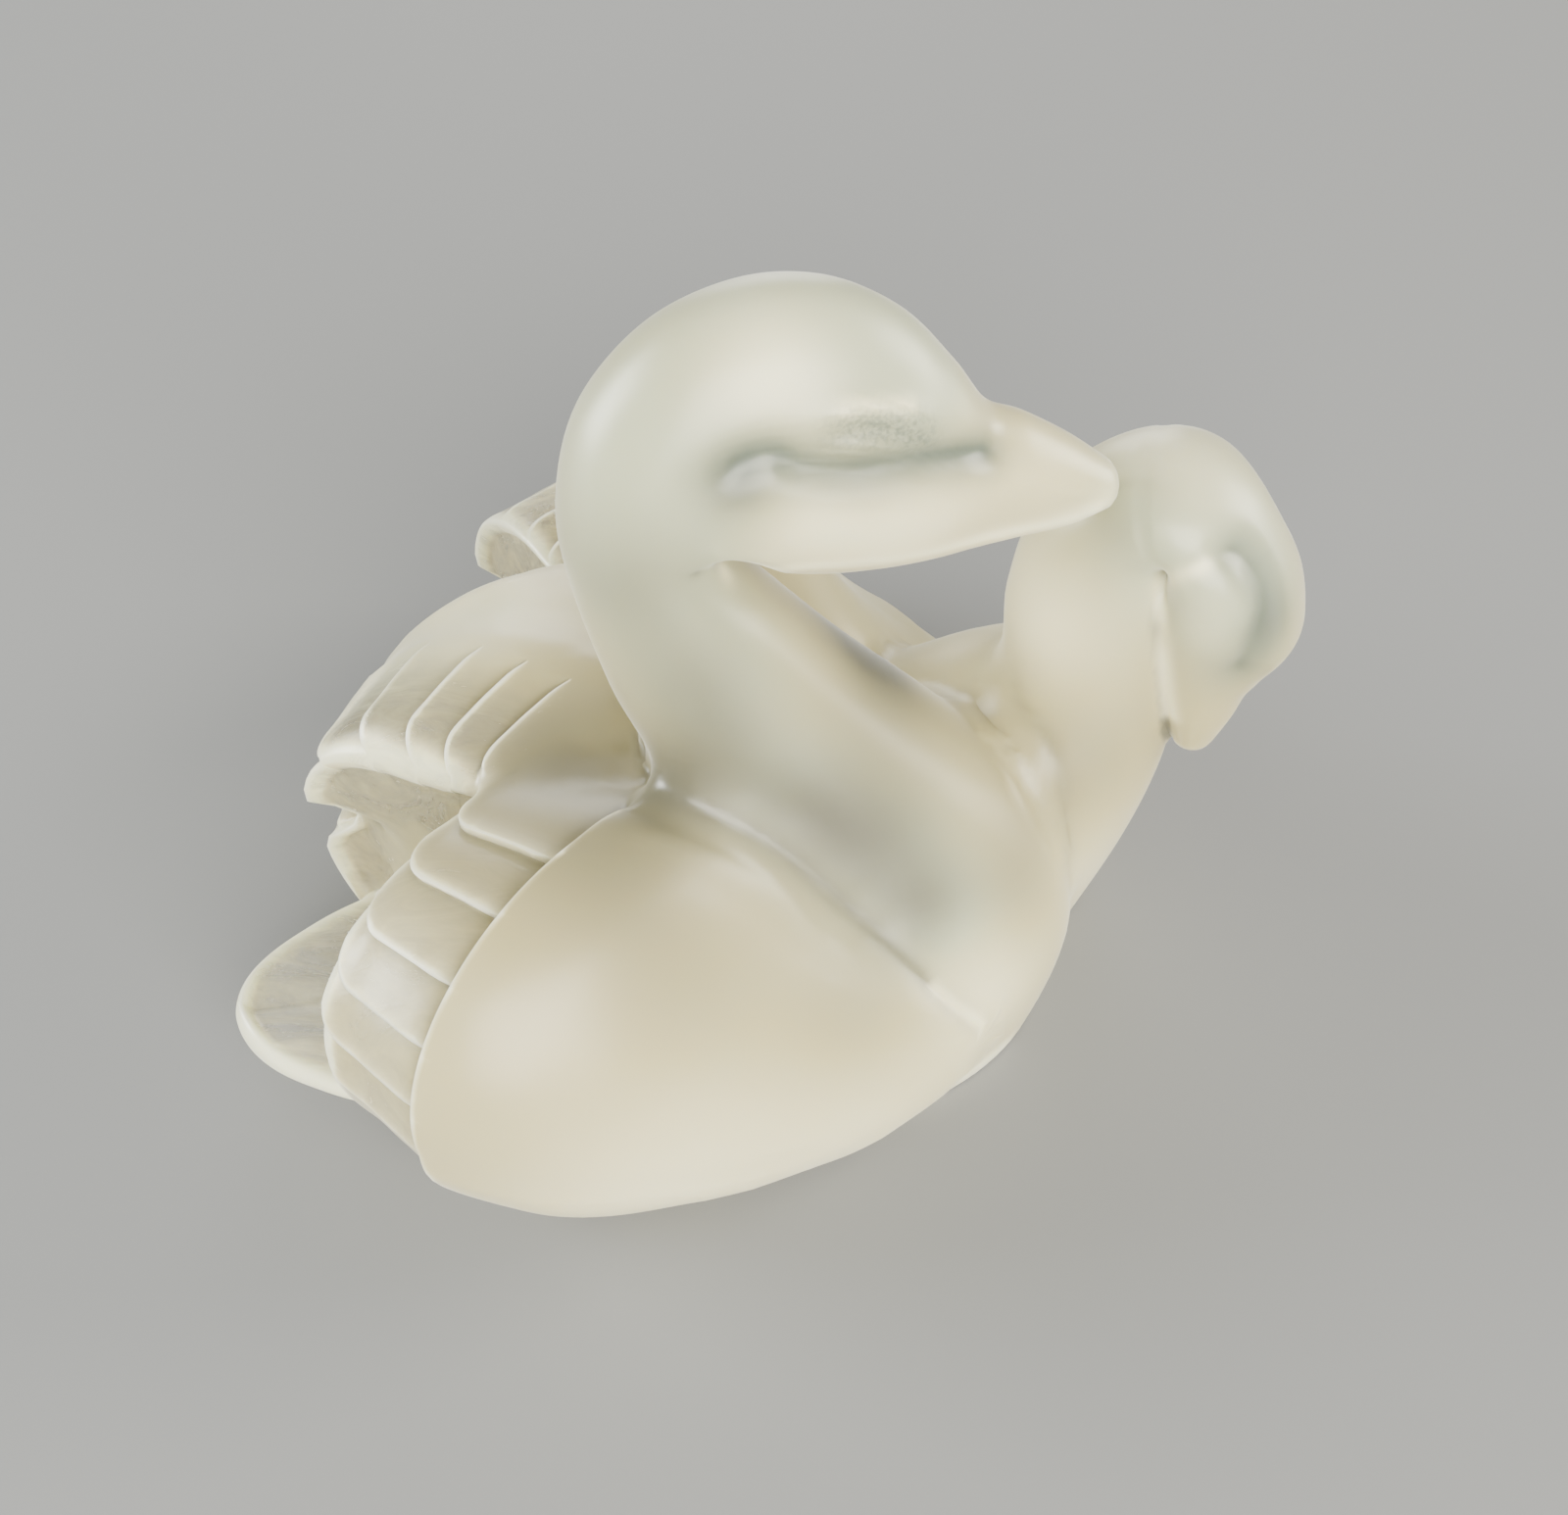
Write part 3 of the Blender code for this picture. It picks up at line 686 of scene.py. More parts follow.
def even_seams(data, seam):
    """Takes out the short edges along the seams and flips the thin triangles there."""
    with edited(data) as mesh:
        mark = mesh.verts.layers.int.new("seam")
        mesh.verts.ensure_lookup_table()
        for index in np.nonzero(seam)[0]:
            mesh.verts[index][mark] = 1
        for turn in range(EVENING_TURNS):
            mesh.verts.index_update()
            joined = short_edges(mesh, mark)
            if not joined:
                break
            bmesh.ops.weld_verts(mesh, targetmap=joined)
        near = [face for face in mesh.faces
                if any(vert[mark] and vert.co.z > FOOT_HEIGHT for vert in face.verts)]
        chosen = set(near)
        inner = [edge for edge in mesh.edges
                 if edge.link_faces and all(face in chosen for face in edge.link_faces)]
        bmesh.ops.beautify_fill(mesh, faces=near, edges=inner, method="ANGLE")
        bmesh.ops.triangulate(mesh, faces=[face for face in mesh.faces if len(face.verts) > 3])
        loose = [edge for edge in mesh.edges if not edge.link_faces]
        bmesh.ops.delete(mesh, geom=loose, context="EDGES")
        bmesh.ops.delete(mesh, geom=[vert for vert in mesh.verts if not vert.link_faces], context="VERTS")


def read_values(items, name, width, kind=float):
    """One value of each of a mesh's items, as the rows of an array."""
    values = np.zeros(len(items) * width, kind)
    items.foreach_get(name, values)
    return values.reshape(-1, width)


def mesh_points(data):
    """A mesh's corners."""
    return read_values(data.vertices, "co", 3)


def move_points(data, points):
    """Puts a mesh's corners where the rows of an array say."""
    data.vertices.foreach_set("co", points.ravel())
    data.update()


def mesh_edges(data):
    """A mesh's edges, as corner numbers."""
    return read_values(data.edges, "vertices", 2, int)


def mesh_normals(data):
    """The directions that a mesh's corners face."""
    return read_values(data.vertices, "normal", 3)


def neighbour_count(edges, corners):
    """How many neighbours each corner has."""
    return np.bincount(edges.ravel(), minlength=corners).astype(float)


def neighbour_mean(points, edges, count):
    """The mean of each corner's neighbours."""
    total = np.stack([np.bincount(edges[:, 0], points[edges[:, 1], axis], len(points))
                      + np.bincount(edges[:, 1], points[edges[:, 0], axis], len(points))
                      for axis in range(points.shape[1])], axis=1)
    return total / count[:, None]


def nearest(places, targets):
    """The number of the target that is nearest to each place, and how far away it is."""
    tree = KDTree(len(targets))
    for index, target in enumerate(targets):
        tree.insert(target, index)
    tree.balance()
    found = [tree.find(place) for place in places]
    return np.array([item[1] for item in found]), np.array([item[2] for item in found])


def trace_forms(data, forms):
    """For each corner: which form it came from, what is painted there, and whether it is on a seam."""
    corners = np.concatenate([mesh_points(form) for form, values in forms])
    owner = np.concatenate([np.full(len(values), number) for number, (form, values) in enumerate(forms)])
    paint = np.concatenate([values for form, values in forms])
    index, away = nearest(mesh_points(data), corners)
    return owner[index], paint[index], away > SAME_PLACE


# A corner this near to a form's own is that form's, and one further off was made by a seam
SAME_PLACE = 0.002
# The shortest edge left along a seam, how many turns take out shorter ones, and how high up that starts
SHORTEST_EDGE = 0.24
EVENING_TURNS = 7
FOOT_HEIGHT = 0.3
# Up to here a corner is part of the flat underside, and stays. Seams are blended from a little higher.
UNDERSIDE = 0.02
SEAM_START = 0.05
# How far each turn of smoothing goes, and how many turns the seams get
SMOOTHING = 0.8
SEAM_TURNS = 40
# How much of its sharp edges polished crystal keeps where its own forms meet
POLISH_KEEPS = 0.85
# How wide a seam is blended, in millimetres, by the kinds of form that meet there: any that isn't listed,
# the listed ones, and those that differ where the two swans join
PLAIN_SEAM_WIDTH = 1.2
SEAM_WIDTHS = {
    "body neck": 2.2, "neck": 2.4, "neck wing": 0.9, "body wing": 1.6, "body": 2.0, "wing": 2.2,
    "tail wing": 0.5, "body tail": 0.8, "head neck": 0.7, "neck web": 0.9, "head web": 0.6,
    "head neck web": 0.7,
}
JOINING_SEAM_WIDTHS = {"wing": 2.6, "neck": 1.1}
# Places that are smoothed further, once fused: where, how far round it, how many turns
SOFT_SPOTS = [
    ((-6.8, -16.9, 34.3), 5.0, 160), ((-8.0, -16.2, 32.4), 4.0, 120), ((-4.2, -17.6, 32.6), 4.5, 120),
    ((-1.2, -18.2, 30.4), 4.0, 80), ((1.9, -18.7, 28.4), 3.5, 50), ((3.4, -18.8, 26.4), 3.5, 70),
    ((5.3, -19.5, 23.9), 3.5, 40), ((8.1, -20.0, 20.7), 3.0, 20), ((11.1, -20.9, 17.4), 3.5, 30),
    ((6.8, -29.9, 14.6), 8.0, 100), ((9.1, -24.7, 17.0), 5.0, 70), ((4.6, -33.2, 7.0), 7.0, 25),
    ((-2.9, -13.0, 51.2), 4.5, 60),
]
# Creases that are drawn in again once the seams are blended, with painted shade along them: depth, half
# width, painted shade, path
CREASES = [
    (0.42, 0.75, 0.8, [(-10.6, -13.0, 32.9), (-9.6, -15.4, 33.6), (-8.1, -17.5, 33.8), (-5.1, -18.7, 32.8),
                       (-2.1, -19.1, 31.2), (1.0, -19.3, 28.7), (4.2, -19.7, 25.1), (7.2, -20.0, 21.6),
                       (10.0, -20.6, 18.5), (12.5, -21.3, 15.8), (14.8, -21.9, 13.4), (17.4, -21.6, 10.2),
                       (19.4, -21.0, 7.8)]),
    (0.35, 0.70, 0.3, [(19.5, -0.6, 31.5), (19.8, -1.5, 29.2), (22.4, -4.4, 27.6), (24.0, -5.6, 24.0),
                       (24.7, -6.4, 20.6), (25.5, -6.5, 14.2), (26.0, -6.6, 8.0)]),
]
# A crease's painted shade: its half width; and the crease's steps from knot to knot, how its ends fade, in
# knots, and how far it reaches
CREASE_SHADE_WIDTH = 0.9
CREASE_STEPS = 16
CREASE_FADE = (-0.2, 1.2)
CREASE_REACH = 3.0
# Painted light and shade: spots where the crystal is painted paler, for light that glows inside it, and
# darker,
# for deep crystal and shade: where, how far round, how much
TONES = [
    ((0.5, -13.0, 71.0), 4.5, 0.9), ((3.5, -14.5, 58.5), 4.5, 0.9), ((10.0, -12.0, 56.0), 5.5, 0.9),
    ((20.0, -6.5, 57.0), 6.0, 0.3), ((-1.2, -15.8, 63.4), 3.2, -0.9), ((7.0, -13.2, 62.2), 2.4, -0.6),
    ((27.0, -2.8, 50.0), 4.5, -0.5), ((38.9, -4.8, 41.5), 2.6, -0.7), ((-9.9, -17.0, 54.7), 6.0, -0.5),
    ((-5.5, -17.5, 45.5), 6.0, -0.5), ((-3.4, -17.5, 38.0), 6.0, -0.5), ((-8.0, -17.2, 33.8), 4.5, -0.5),
    ((2.6, -17.0, 32.0), 5.5, -0.6), ((8.0, -16.5, 27.0), 6.5, -0.8), ((12.5, -18.0, 20.5), 4.5, -0.6),
    ((17.5, -18.5, 11.0), 6.0, 0.7), ((7.5, -27.0, 17.0), 7.0, -0.4), ((20.5, -12.5, 18.5), 6.0, -0.45),
    ((26.0, -4.0, 10.0), 8.0, 0.5), ((-9.7, -40.0, 8.0), 12.0, 0.8), ((6.0, -30.0, 4.0), 12.0, 0.7),
    ((-6.0, -31.0, 26.5), 10.0, -0.3), ((-17.0, -12.5, 31.3), 9.0, -0.75),
    ((-12.1, -25.5, 33.8), 7.0, -0.4), ((-26.0, 6.0, 31.5), 8.0, 1.1), ((6.9, -4.2, 37.3), 7.0, -1.3),
    ((21.5, -1.5, 38.3), 6.0, 0.8), ((25.3, -5.5, 25.5), 6.0, -0.35), ((31.0, 0.5, 53.0), 6.0, 0.8),
    ((34.0, -6.3, 41.9), 4.0, 0.3), ((-39.0, -19.0, 7.0), 7.0, -1.2), ((-35.8, -6.5, 28.0), 3.2, -0.9),
    ((-27.5, -31.0, 28.5), 8.0, 0.2), ((-26.0, 27.0, 26.8), 4.0, 1.0),
]
# Bright lines, where light comes out along an edge: half width and path
GLOW_LINES = [
    (1.1, [(-6.5, -13.8, 52.3), (-3.6, -12.0, 51.6), (0.4, -12.8, 52.7), (3.1, -13.1, 53.2),
           (8.4, -11.7, 52.7), (14.8, -9.1, 52.3), (20.2, -6.7, 52.0), (24.6, -4.7, 52.0)]),
    (0.8, [(31.1, -4.7, 45.5), (30.7, -2.2, 42.4), (31.2, -2.9, 40.3), (31.6, -3.1, 37.9),
           (32.3, -2.6, 33.1), (33.2, -2.1, 28.1)]),
    (0.8, [(31.1, -4.7, 45.3), (32.0, -5.2, 46.6), (33.3, -5.7, 47.6)]),
    (0.6, [(5.6, -13.8, 67.9), (7.8, -13.1, 67.7), (10.4, -11.7, 66.8)]),
    (0.8, [(13.5, -21.3, 14.2), (15.5, -21.5, 12.0), (17.5, -21.3, 9.8)]),
    (1.5, [(-34.8, 4.1, 27.3), (-36.4, 0.5, 27.3), (-38.5, -2.8, 26.2), (-39.7, -5.3, 24.4),
           (-40.6, -5.8, 21.8)]),
]
# Painted light and shade: where the crystal is painted cool rather than warm, for the cool light and shade
# on
# the necks and heads: where and how far round
COOL_SPOTS = [((2.0, -9.0, 72.0), 9.0), ((-8.0, -13.0, 64.0), 8.0), ((-8.0, -16.0, 54.0), 8.0),
              ((-4.0, -16.5, 44.0), 7.0), ((1.0, -16.5, 34.0), 6.0), ((9.0, -16.5, 26.0), 6.5),
              ((14.0, -17.0, 19.0), 5.0), ((12.0, -9.0, 68.0), 6.0), ((31.0, -1.0, 52.0), 8.0),
              ((36.0, -4.0, 44.0), 8.0), ((-33.0, 0.0, 24.0), 9.0)]

# The sharpest bend that counts, per millimetre, how far a corner looks in, in millimetres, and how far aside
SHARPEST = 4.0
DEPTH_LIMIT = 14.0
DEPTH_TILT = 0.6


def painted_lines(points, lines):
    """How near one of the lines each place is: one on it, nothing well away."""
    nearness = np.zeros(len(points))
    for width, path in lines:
        trace, strength = trace_path(path, LINE_STEPS, LINE_FADE)
        nearness = np.maximum(nearness, bump(nearest(points, trace)[1], width))
    return nearness


def painted_spots(points, spots):
    """The sum of soft round spots, each given as where, how far round and how much."""
    return sum(amount * bump(np.linalg.norm(points - np.array(place), axis=1), reach)
               for place, reach, amount in spots)


def seam_groups(owner, seam, edges, names):
    """The corners on the seams, by how wide each is blended and whether it joins the two swans."""
    met = {}
    for first, second in edges:
        for one, other in ((first, second), (second, first)):
            if seam[one]:
                met.setdefault(one, set()).add(owner[other])
    groups = {}
    for corner, owners in met.items():
        kinds = " ".join(sorted({names[number].split("_")[-1] for number in owners}))
        joining = len({names[number].split("_")[0] for number in owners}) > 1
        widths = {**SEAM_WIDTHS, **JOINING_SEAM_WIDTHS} if joining else SEAM_WIDTHS
        groups.setdefault((widths.get(kinds, PLAIN_SEAM_WIDTH), joining), []).append(corner)
    return groups


def blend_seams(data, owner, polish, seam, names):
    """Softens the seams between forms, each as wide as its kind asks, as the mould does."""
    points, edges = mesh_points(data), mesh_edges(data)
    count = neighbour_count(edges, len(points))
    weight = np.zeros(len(points))
    raised = seam & (points[:, 2] > SEAM_START)
    for (width, joining), chosen in seam_groups(owner, raised, edges, names).items():
        away = nearest(points, points[chosen])[1]
        reach = (1.0 - step_up(away, 0.3 * width, width)) * min(1.0, 0.4 + 0.3 * width)
        weight = np.maximum(weight, reach * (1.0 - (0.0 if joining else POLISH_KEEPS) * polish))
    weight[points[:, 2] < UNDERSIDE] = 0.0
    for turn in range(SEAM_TURNS):
        points += weight[:, None] * SMOOTHING * (neighbour_mean(points, edges, count) - points)
    for place, radius, turns in SOFT_SPOTS:
        soften_spot(points, edges, count, place, radius, turns)
    move_points(data, points)


def soften_spot(points, edges, count, place, radius, turns):
    """Smooths the corners round one place, fully near it and less further out."""
    weight = 1.0 - step_up(np.linalg.norm(points - np.array(place), axis=1), 0.45 * radius, radius)
    weight[points[:, 2] < UNDERSIDE] = 0.0
    linked = edges[(weight > 0.0)[edges].any(axis=1)]
    inside = np.unique(linked)
    place_of = np.zeros(len(points), int)
    place_of[inside] = np.arange(len(inside))
    local, share = points[inside], weight[inside, None] * SMOOTHING
    for turn in range(turns):
        local += share * (neighbour_mean(local, place_of[linked], count[inside]) - local)
    points[inside] = local


def carve_creases(data):
    """Draws the sharp creases into the blended skin; returns the painted shade along them, by how near one
    each corner lies.
    """
    points, normals = mesh_points(data), mesh_normals(data)
    nearness = np.zeros(len(points))
    for depth, width, shade, path in CREASES:
        line, strength = trace_path(path, CREASE_STEPS, CREASE_FADE)
        box = (points > line.min(axis=0) - CREASE_REACH) & (points < line.max(axis=0) + CREASE_REACH)
        near = np.nonzero(box.all(axis=1))[0]
        gap = np.linalg.norm(points[near, None] - line[None], axis=2)
        points[near] -= depth * (np.exp(-gap / width) * strength[None]).max(axis=1)[:, None] * normals[near]
        # painted shade along the crease
        dark = shade * (bump(gap, CREASE_SHADE_WIDTH) * strength[None]).max(axis=1)
        nearness[near] = np.maximum(nearness[near], dark)
    move_points(data, points)
    return nearness


def smoothed(values, edges, turns):
    """Values at the corners, evened out with their neighbours'."""
    count = neighbour_count(edges, len(values))
    values = values[:, None]
    for turn in range(turns):
        values = 0.5 * values + 0.5 * neighbour_mean(values, edges, count)
    return values[:, 0]


def bending(data):
    """How sharply the skin bends at each corner, per millimetre: over nothing where it stands out."""
    points, normals, edges = mesh_points(data), mesh_normals(data), mesh_edges(data)
    along = points[edges[:, 1]] - points[edges[:, 0]]
    turn = ((normals[edges[:, 1]] - normals[edges[:, 0]]) * along).sum(axis=1)
    turn /= np.maximum((along ** 2).sum(axis=1), 1e-4)
    total = np.bincount(edges[:, 0], turn, len(points)) + np.bincount(edges[:, 1], turn, len(points))
    return smoothed(np.clip(total / neighbour_count(edges, len(points)), -SHARPEST, SHARPEST), edges, 3)


def depth_behind(data):
    """How deep the crystal is behind each corner, in millimetres, over a narrow spread of directions."""
    points, normals = mesh_points(data), mesh_normals(data)
    triangles = read_values(data.polygons, "vertices", 3, int)
    tree = BVHTree.FromPolygons(points.tolist(), triangles.tolist())
    side = np.cross(normals, np.where(np.abs(normals[:, 2:]) < 0.9, [[0.0, 0.0, 1.0]], [[1.0, 0.0, 0.0]]))
    side /= np.linalg.norm(side, axis=1, keepdims=True)
    other = np.cross(normals, side)
    depths = []
    for tilt in (0.0 * side, DEPTH_TILT * side, -DEPTH_TILT * side, DEPTH_TILT * other, -DEPTH_TILT * other):
        found = [tree.ray_cast(Vector(start), Vector(way), DEPTH_LIMIT)[3]
                 for start, way in zip(points - 0.01 * normals, tilt - normals)]
        depths.append([DEPTH_LIMIT if depth is None else depth for depth in found])
    return smoothed(np.mean(depths, axis=0), mesh_edges(data), 4)


def keep_in_box(data, low, high):
    """Draws the mesh in, by the hair that its rounder curves stand out, to the solid's own box."""
    points = mesh_points(data)
    low, high = np.array(low), np.array(high)
    bottom, top = points.min(axis=0), points.max(axis=0)
    move_points(data, low + (points - bottom) * ((high - low) / (top - bottom)))


def painted_looks(data, paint, crease_shade, carving):
    """What the material reads at each corner, by name, most of it painted light and shade. A glow under
    nothing is deep crystal, painted in deep shade.
    """
    points, edges, bend = mesh_points(data), mesh_edges(data), bending(data)
    looks = {name: smoothed(values, edges, 4) for name, values in zip(PAINTS, paint.T)}
    # painted highlight on sharp edges, and painted shade in hollows, by how sharply the skin bends
    looks["edge"] = step_up(bend, 0.35 * carving.edge_bend, carving.edge_bend)
    looks["hollow"] = step_up(-bend, 0.1 * carving.edge_bend, 0.6 * carving.edge_bend)
    # painted light: thin crystal is painted paler, for the light that comes through it
    looks["thin"] = 1.0 - step_up(depth_behind(data), carving.thin_depth, carving.thick_depth)
    # spots of painted light and shade, and the painted cool tint
    looks["glow"] = np.clip(painted_spots(points, TONES), -1.0, 1.0)
    looks["cool"] = np.clip(painted_spots(points, [(*spot, 1.0) for spot in COOL_SPOTS]), 0.0, 1.0)
    # painted highlights along the bright lines; the painted shade of hollows, creases and laps is joined,
    # and left off under the bright lines
    shine = painted_lines(points, GLOW_LINES)
    looks["rim"] = np.maximum(looks["rim"], 0.9 * shine)
    looks["hollow"] = np.maximum.reduce([looks["hollow"], crease_shade, looks.pop("lap")]) * (1.0 - shine)
    return looks


class Value:
    """A shader socket that takes part in Python expressions."""

    def __init__(self, shading, socket):
        self.shading = shading
        self.socket = socket

    def maths(self, operation, first, second):
        return self.shading.add("ShaderNodeMath", {"operation": operation}, {0: first, 1: second})

    def __add__(self, other):
        return self.maths("ADD", self, other)

    __radd__ = __add__

    def __sub__(self, other):
        return self.maths("SUBTRACT", self, other)

    def __rsub__(self, other):
        return self.maths("SUBTRACT", other, self)

    def __mul__(self, other):
        return self.maths("MULTIPLY", self, other)

    __rmul__ = __mul__


class Shading:
    """Builds one material's nodes."""

    def __init__(self, name):
        self.material = bpy.data.materials.new(name)
        self.material.use_nodes = True
        self.material.node_tree.nodes.clear()

    def add(self, kind, settings, inputs, output=0):
        """Adds a node: its type, its settings, its sockets' values or links; returns one output."""
        node = self.material.node_tree.nodes.new(kind)
        for key, setting in settings.items():
            if key == "ramp":
                ramp = node.color_ramp
                while len(ramp.elements) < len(setting):
                    ramp.elements.new(0.5)
                for element, (place, colour) in zip(ramp.elements, setting):
                    element.position = place
                    element.color = colour
            else:
                setattr(node, key, setting)
        for key, value in inputs.items():
            if isinstance(value, Value):
                self.material.node_tree.links.new(value.socket, node.inputs[key])
            else:
                node.inputs[key].default_value = value
        return Value(self, node.outputs[output]) if output is not None else None

    def add_output(self, surface):
        """Joins a surface to the material's output."""
        self.add("ShaderNodeOutputMaterial", {}, {"Surface": surface}, None)

    def ramp(self, value, low, high):
        """A value's share between low and high, from nothing to one."""
        stops = [(low, (0, 0, 0, 1)), (high, (1, 1, 1, 1))]
        return self.add("ShaderNodeValToRGB", {"ramp": stops}, {0: value})

    def limit(self, value):
        """A value kept between nothing and one."""
        return self.add("ShaderNodeMath", {"operation": "ADD", "use_clamp": True}, {0: value, 1: 0.0})

    def blend(self, share, first, second):
        """A colour between two, by a share."""
        first, second = (item if isinstance(item, Value) else (*item, 1.0) for item in (first, second))
        return self.add("ShaderNodeMix", {"data_type": "RGBA"}, {0: share, 6: first, 7: second}, 2)


def crystal_material(look):
    """Satin frosted crystal that turns to clear, fire-polished crystal where the attribute says so."""
    shading = Shading("frosted_crystal")
    coordinates = shading.add("ShaderNodeTexCoord", {}, {}, "Object")

    def painted(name):
        return shading.add("ShaderNodeAttribute", {"attribute_name": name}, {}, "Fac")

    def noise(scale, detail, rough=0.5, twist=0.0, place=coordinates):
        return shading.add("ShaderNodeTexNoise", {}, {"Vector": place, "Scale": scale, "Detail": detail,
                                                      "Roughness": rough, "Distortion": twist})

    def bump_map(strength, distance, height, **below):
        return shading.add("ShaderNodeBump", {}, {"Strength": strength, "Distance": distance,
                                                  "Height": height, **below})

    polish, groove, eye, edge, hollow, thin, rim, glow, cool = map(painted, (
        "polish", "groove", "eye", "edge", "hollow", "thin", "rim", "glow", "cool"))
    # broad clouds and a finer mottle in the frost, its own grain, and streaks drawn along by the polish
    cloud = noise(30.0, 2.0)
    mottle = noise(190.0, 4.0, 0.55)
    grain = noise(2400.0, 2.0)
    drawn = shading.add("ShaderNodeVectorMath", {"operation": "MULTIPLY"},
                        {0: coordinates, 1: (0.35, 1.3, 1.0)})
    streak = noise(240.0, 6.0, 0.65, 1.4, drawn)
    # The colour carries painted light and shade: the painted cool tint, spots of painted light and of deep
    # shade, painted shade in hollows, creases, grooves and the eye, and painted highlights on thin crystal,
    # edges and rims. The clouds and mottle are the crystal's own random tone.
    tint = shading.blend(shading.limit(cool + 0.7 * (cloud - 0.45) + 0.25 * (mottle - 0.5)),
                         look.warm_colour, look.cool_colour)
    tint = shading.blend(shading.limit(-1.0 * glow), tint, look.deep_shade_colour)
    tint = shading.blend(shading.limit(0.85 * glow), tint, look.highlight_colour)
    tint = shading.blend(shading.limit(0.85 * hollow), tint, look.deep_shade_colour)
    tint = shading.blend(groove, tint, look.groove_shade_colour)
    tint = shading.blend(shading.limit(0.75 * thin + 0.9 * edge + rim), tint, look.highlight_colour)
    tint = shading.blend(shading.limit(eye * (0.45 + 0.5 * shading.ramp(grain, 0.42, 0.62))), tint,
                         look.groove_shade_colour)
    grain_bump = bump_map(0.10, 0.00004, grain)
    frost = shading.add("ShaderNodeBsdfPrincipled", {}, {
        "Base Color": tint, "Roughness": 0.30 + 0.12 * cloud, "IOR": look.refraction,
        "Transmission Weight": look.frost_clearness, "Subsurface Weight": 1.0,
        "Subsurface Radius": (1.0, 0.95, 0.82), "Subsurface Scale": look.glow_depth,
        "Sheen Weight": look.bloom, "Sheen Roughness": 0.28,
        "Normal": bump_map(0.6, 0.00015, eye * grain, Normal=grain_bump)})
    clear_tint = shading.blend(shading.ramp(streak, 0.42, 0.66), look.clear_colour, (1.0, 0.99, 0.95))
    clear = shading.add("ShaderNodeBsdfPrincipled", {}, {
        "Base Color": clear_tint, "Roughness": 0.07 + 0.25 * shading.ramp(streak, 0.45, 0.65),
        "IOR": look.refraction, "Transmission Weight": look.polish_clearness,
        "Normal": bump_map(0.45, 0.0004, streak)})
    share = polish * shading.limit(look.polish_share - 0.8 * edge - 0.75 * rim + 1.8 * (streak - 0.5))
    shading.add_output(shading.add("ShaderNodeMixShader", {}, {0: share, 1: frost, 2: clear}))
    return shading.material


# How far the floor lies under the pair and what the lights point at, in metres, and the camera's sensor, in
# millimetres
FLOOR_GAP = 0.0002
LIGHT_AIM = (0.0, 0.0, 0.03)
SENSOR_WIDTH = 36.0


class SwanPairCarving(bpy.types.PropertyGroup):
    """Sizes of the casting that a user may change, and where its painted highlights and painted shade fall.
    """

    centre: FloatVectorProperty(
        name="Centre", description="Where the pair's drawn origin stands in the solid's frame",
        size=3, default=(0.002059, -0.000083, 0.0), subtype="TRANSLATION", unit="LENGTH")
    # Sets where the painted highlight on sharp edges and the painted shade in hollows fall
    edge_bend: FloatProperty(
        name="Edge Bend", description="How sharply an edge bends, per millimetre, to be fully white",
        default=0.9)
    # Painted light: crystal thinner than these depths is painted paler, for the light that comes through it
    thin_depth: FloatProperty(
        name="Thin Depth", description="Depth of crystal, in millimetres, under which it looks fully white",
        default=2.0)
    thick_depth: FloatProperty(
        name="Thick Depth", description="Depth of crystal, in millimetres, over which it is no paler",
        default=9.0)


class SwanPairLook(bpy.types.PropertyGroup):
    """Colours of the crystal, with its painted light and shade, and its optics."""

    warm_colour: FloatVectorProperty(
        name="Warm Colour", description="Colour of the frosted crystal where it looks warm",
        size=3, default=(0.56, 0.495, 0.27), subtype="COLOR")
    # Used in the crystal's random clouds, and as the painted cool light and shade on the necks and heads
    cool_colour: FloatVectorProperty(
        name="Cool Colour", description="Colour of the frosted crystal where it looks cool",
        size=3, default=(0.53, 0.555, 0.40), subtype="COLOR")
    # Painted shade: the colour painted in hollows, along creases, under laps and at the dark spots
    deep_shade_colour: FloatVectorProperty(
        name="Deep Colour", description="Colour of the frosted crystal where little light comes back",
        size=3, default=(0.125, 0.121, 0.085), subtype="COLOR")
    # Painted shade: the colour painted down the carved grooves and in the eye
    groove_shade_colour: FloatVectorProperty(
        name="Groove Colour", description="Colour of the frosted crystal down in its grooves",
        size=3, default=(0.12, 0.155, 0.13), subtype="COLOR")
    # Painted light: the colour painted on thin crystal, sharp edges, rims, bright lines and glowing spots,
    # for the light that comes out of the crystal there
    highlight_colour: FloatVectorProperty(
        name="Edge Colour", description="Colour of thin crystal and ground edges, where frost gathers light",
        size=3, default=(1.0, 0.95, 0.68), subtype="COLOR")
    clear_colour: FloatVectorProperty(
        name="Clear Colour", description="Colour of the fire-polished crystal",
        size=3, default=(0.90, 0.86, 0.72), subtype="COLOR")
    refraction: FloatProperty(
        name="Refraction", description="Index of refraction of lead crystal", default=1.54)
    frost_clearness: FloatProperty(
        name="Frost Clearness", description="How far light passes straight through the frosted crystal",
        default=0.38, min=0.0, max=1.0, subtype="FACTOR")
    polish_clearness: FloatProperty(
        name="Polish Clearness", description="How far light passes straight through the polished crystal",
        default=0.9, min=0.0, max=1.0, subtype="FACTOR")
    polish_share: FloatProperty(
        name="Polish Share", description="How much of the satin the polish has taken off",
        default=0.7, min=0.0, max=1.0, subtype="FACTOR")
    bloom: FloatProperty(
        name="Bloom", description="How much the frost whitens where it is seen at a slant",
        default=0.35, min=0.0, max=1.0, subtype="FACTOR")
    glow_depth: FloatProperty(
        name="Glow Depth", description="How far light spreads inside the frosted crystal",
        default=0.0014, unit="LENGTH")


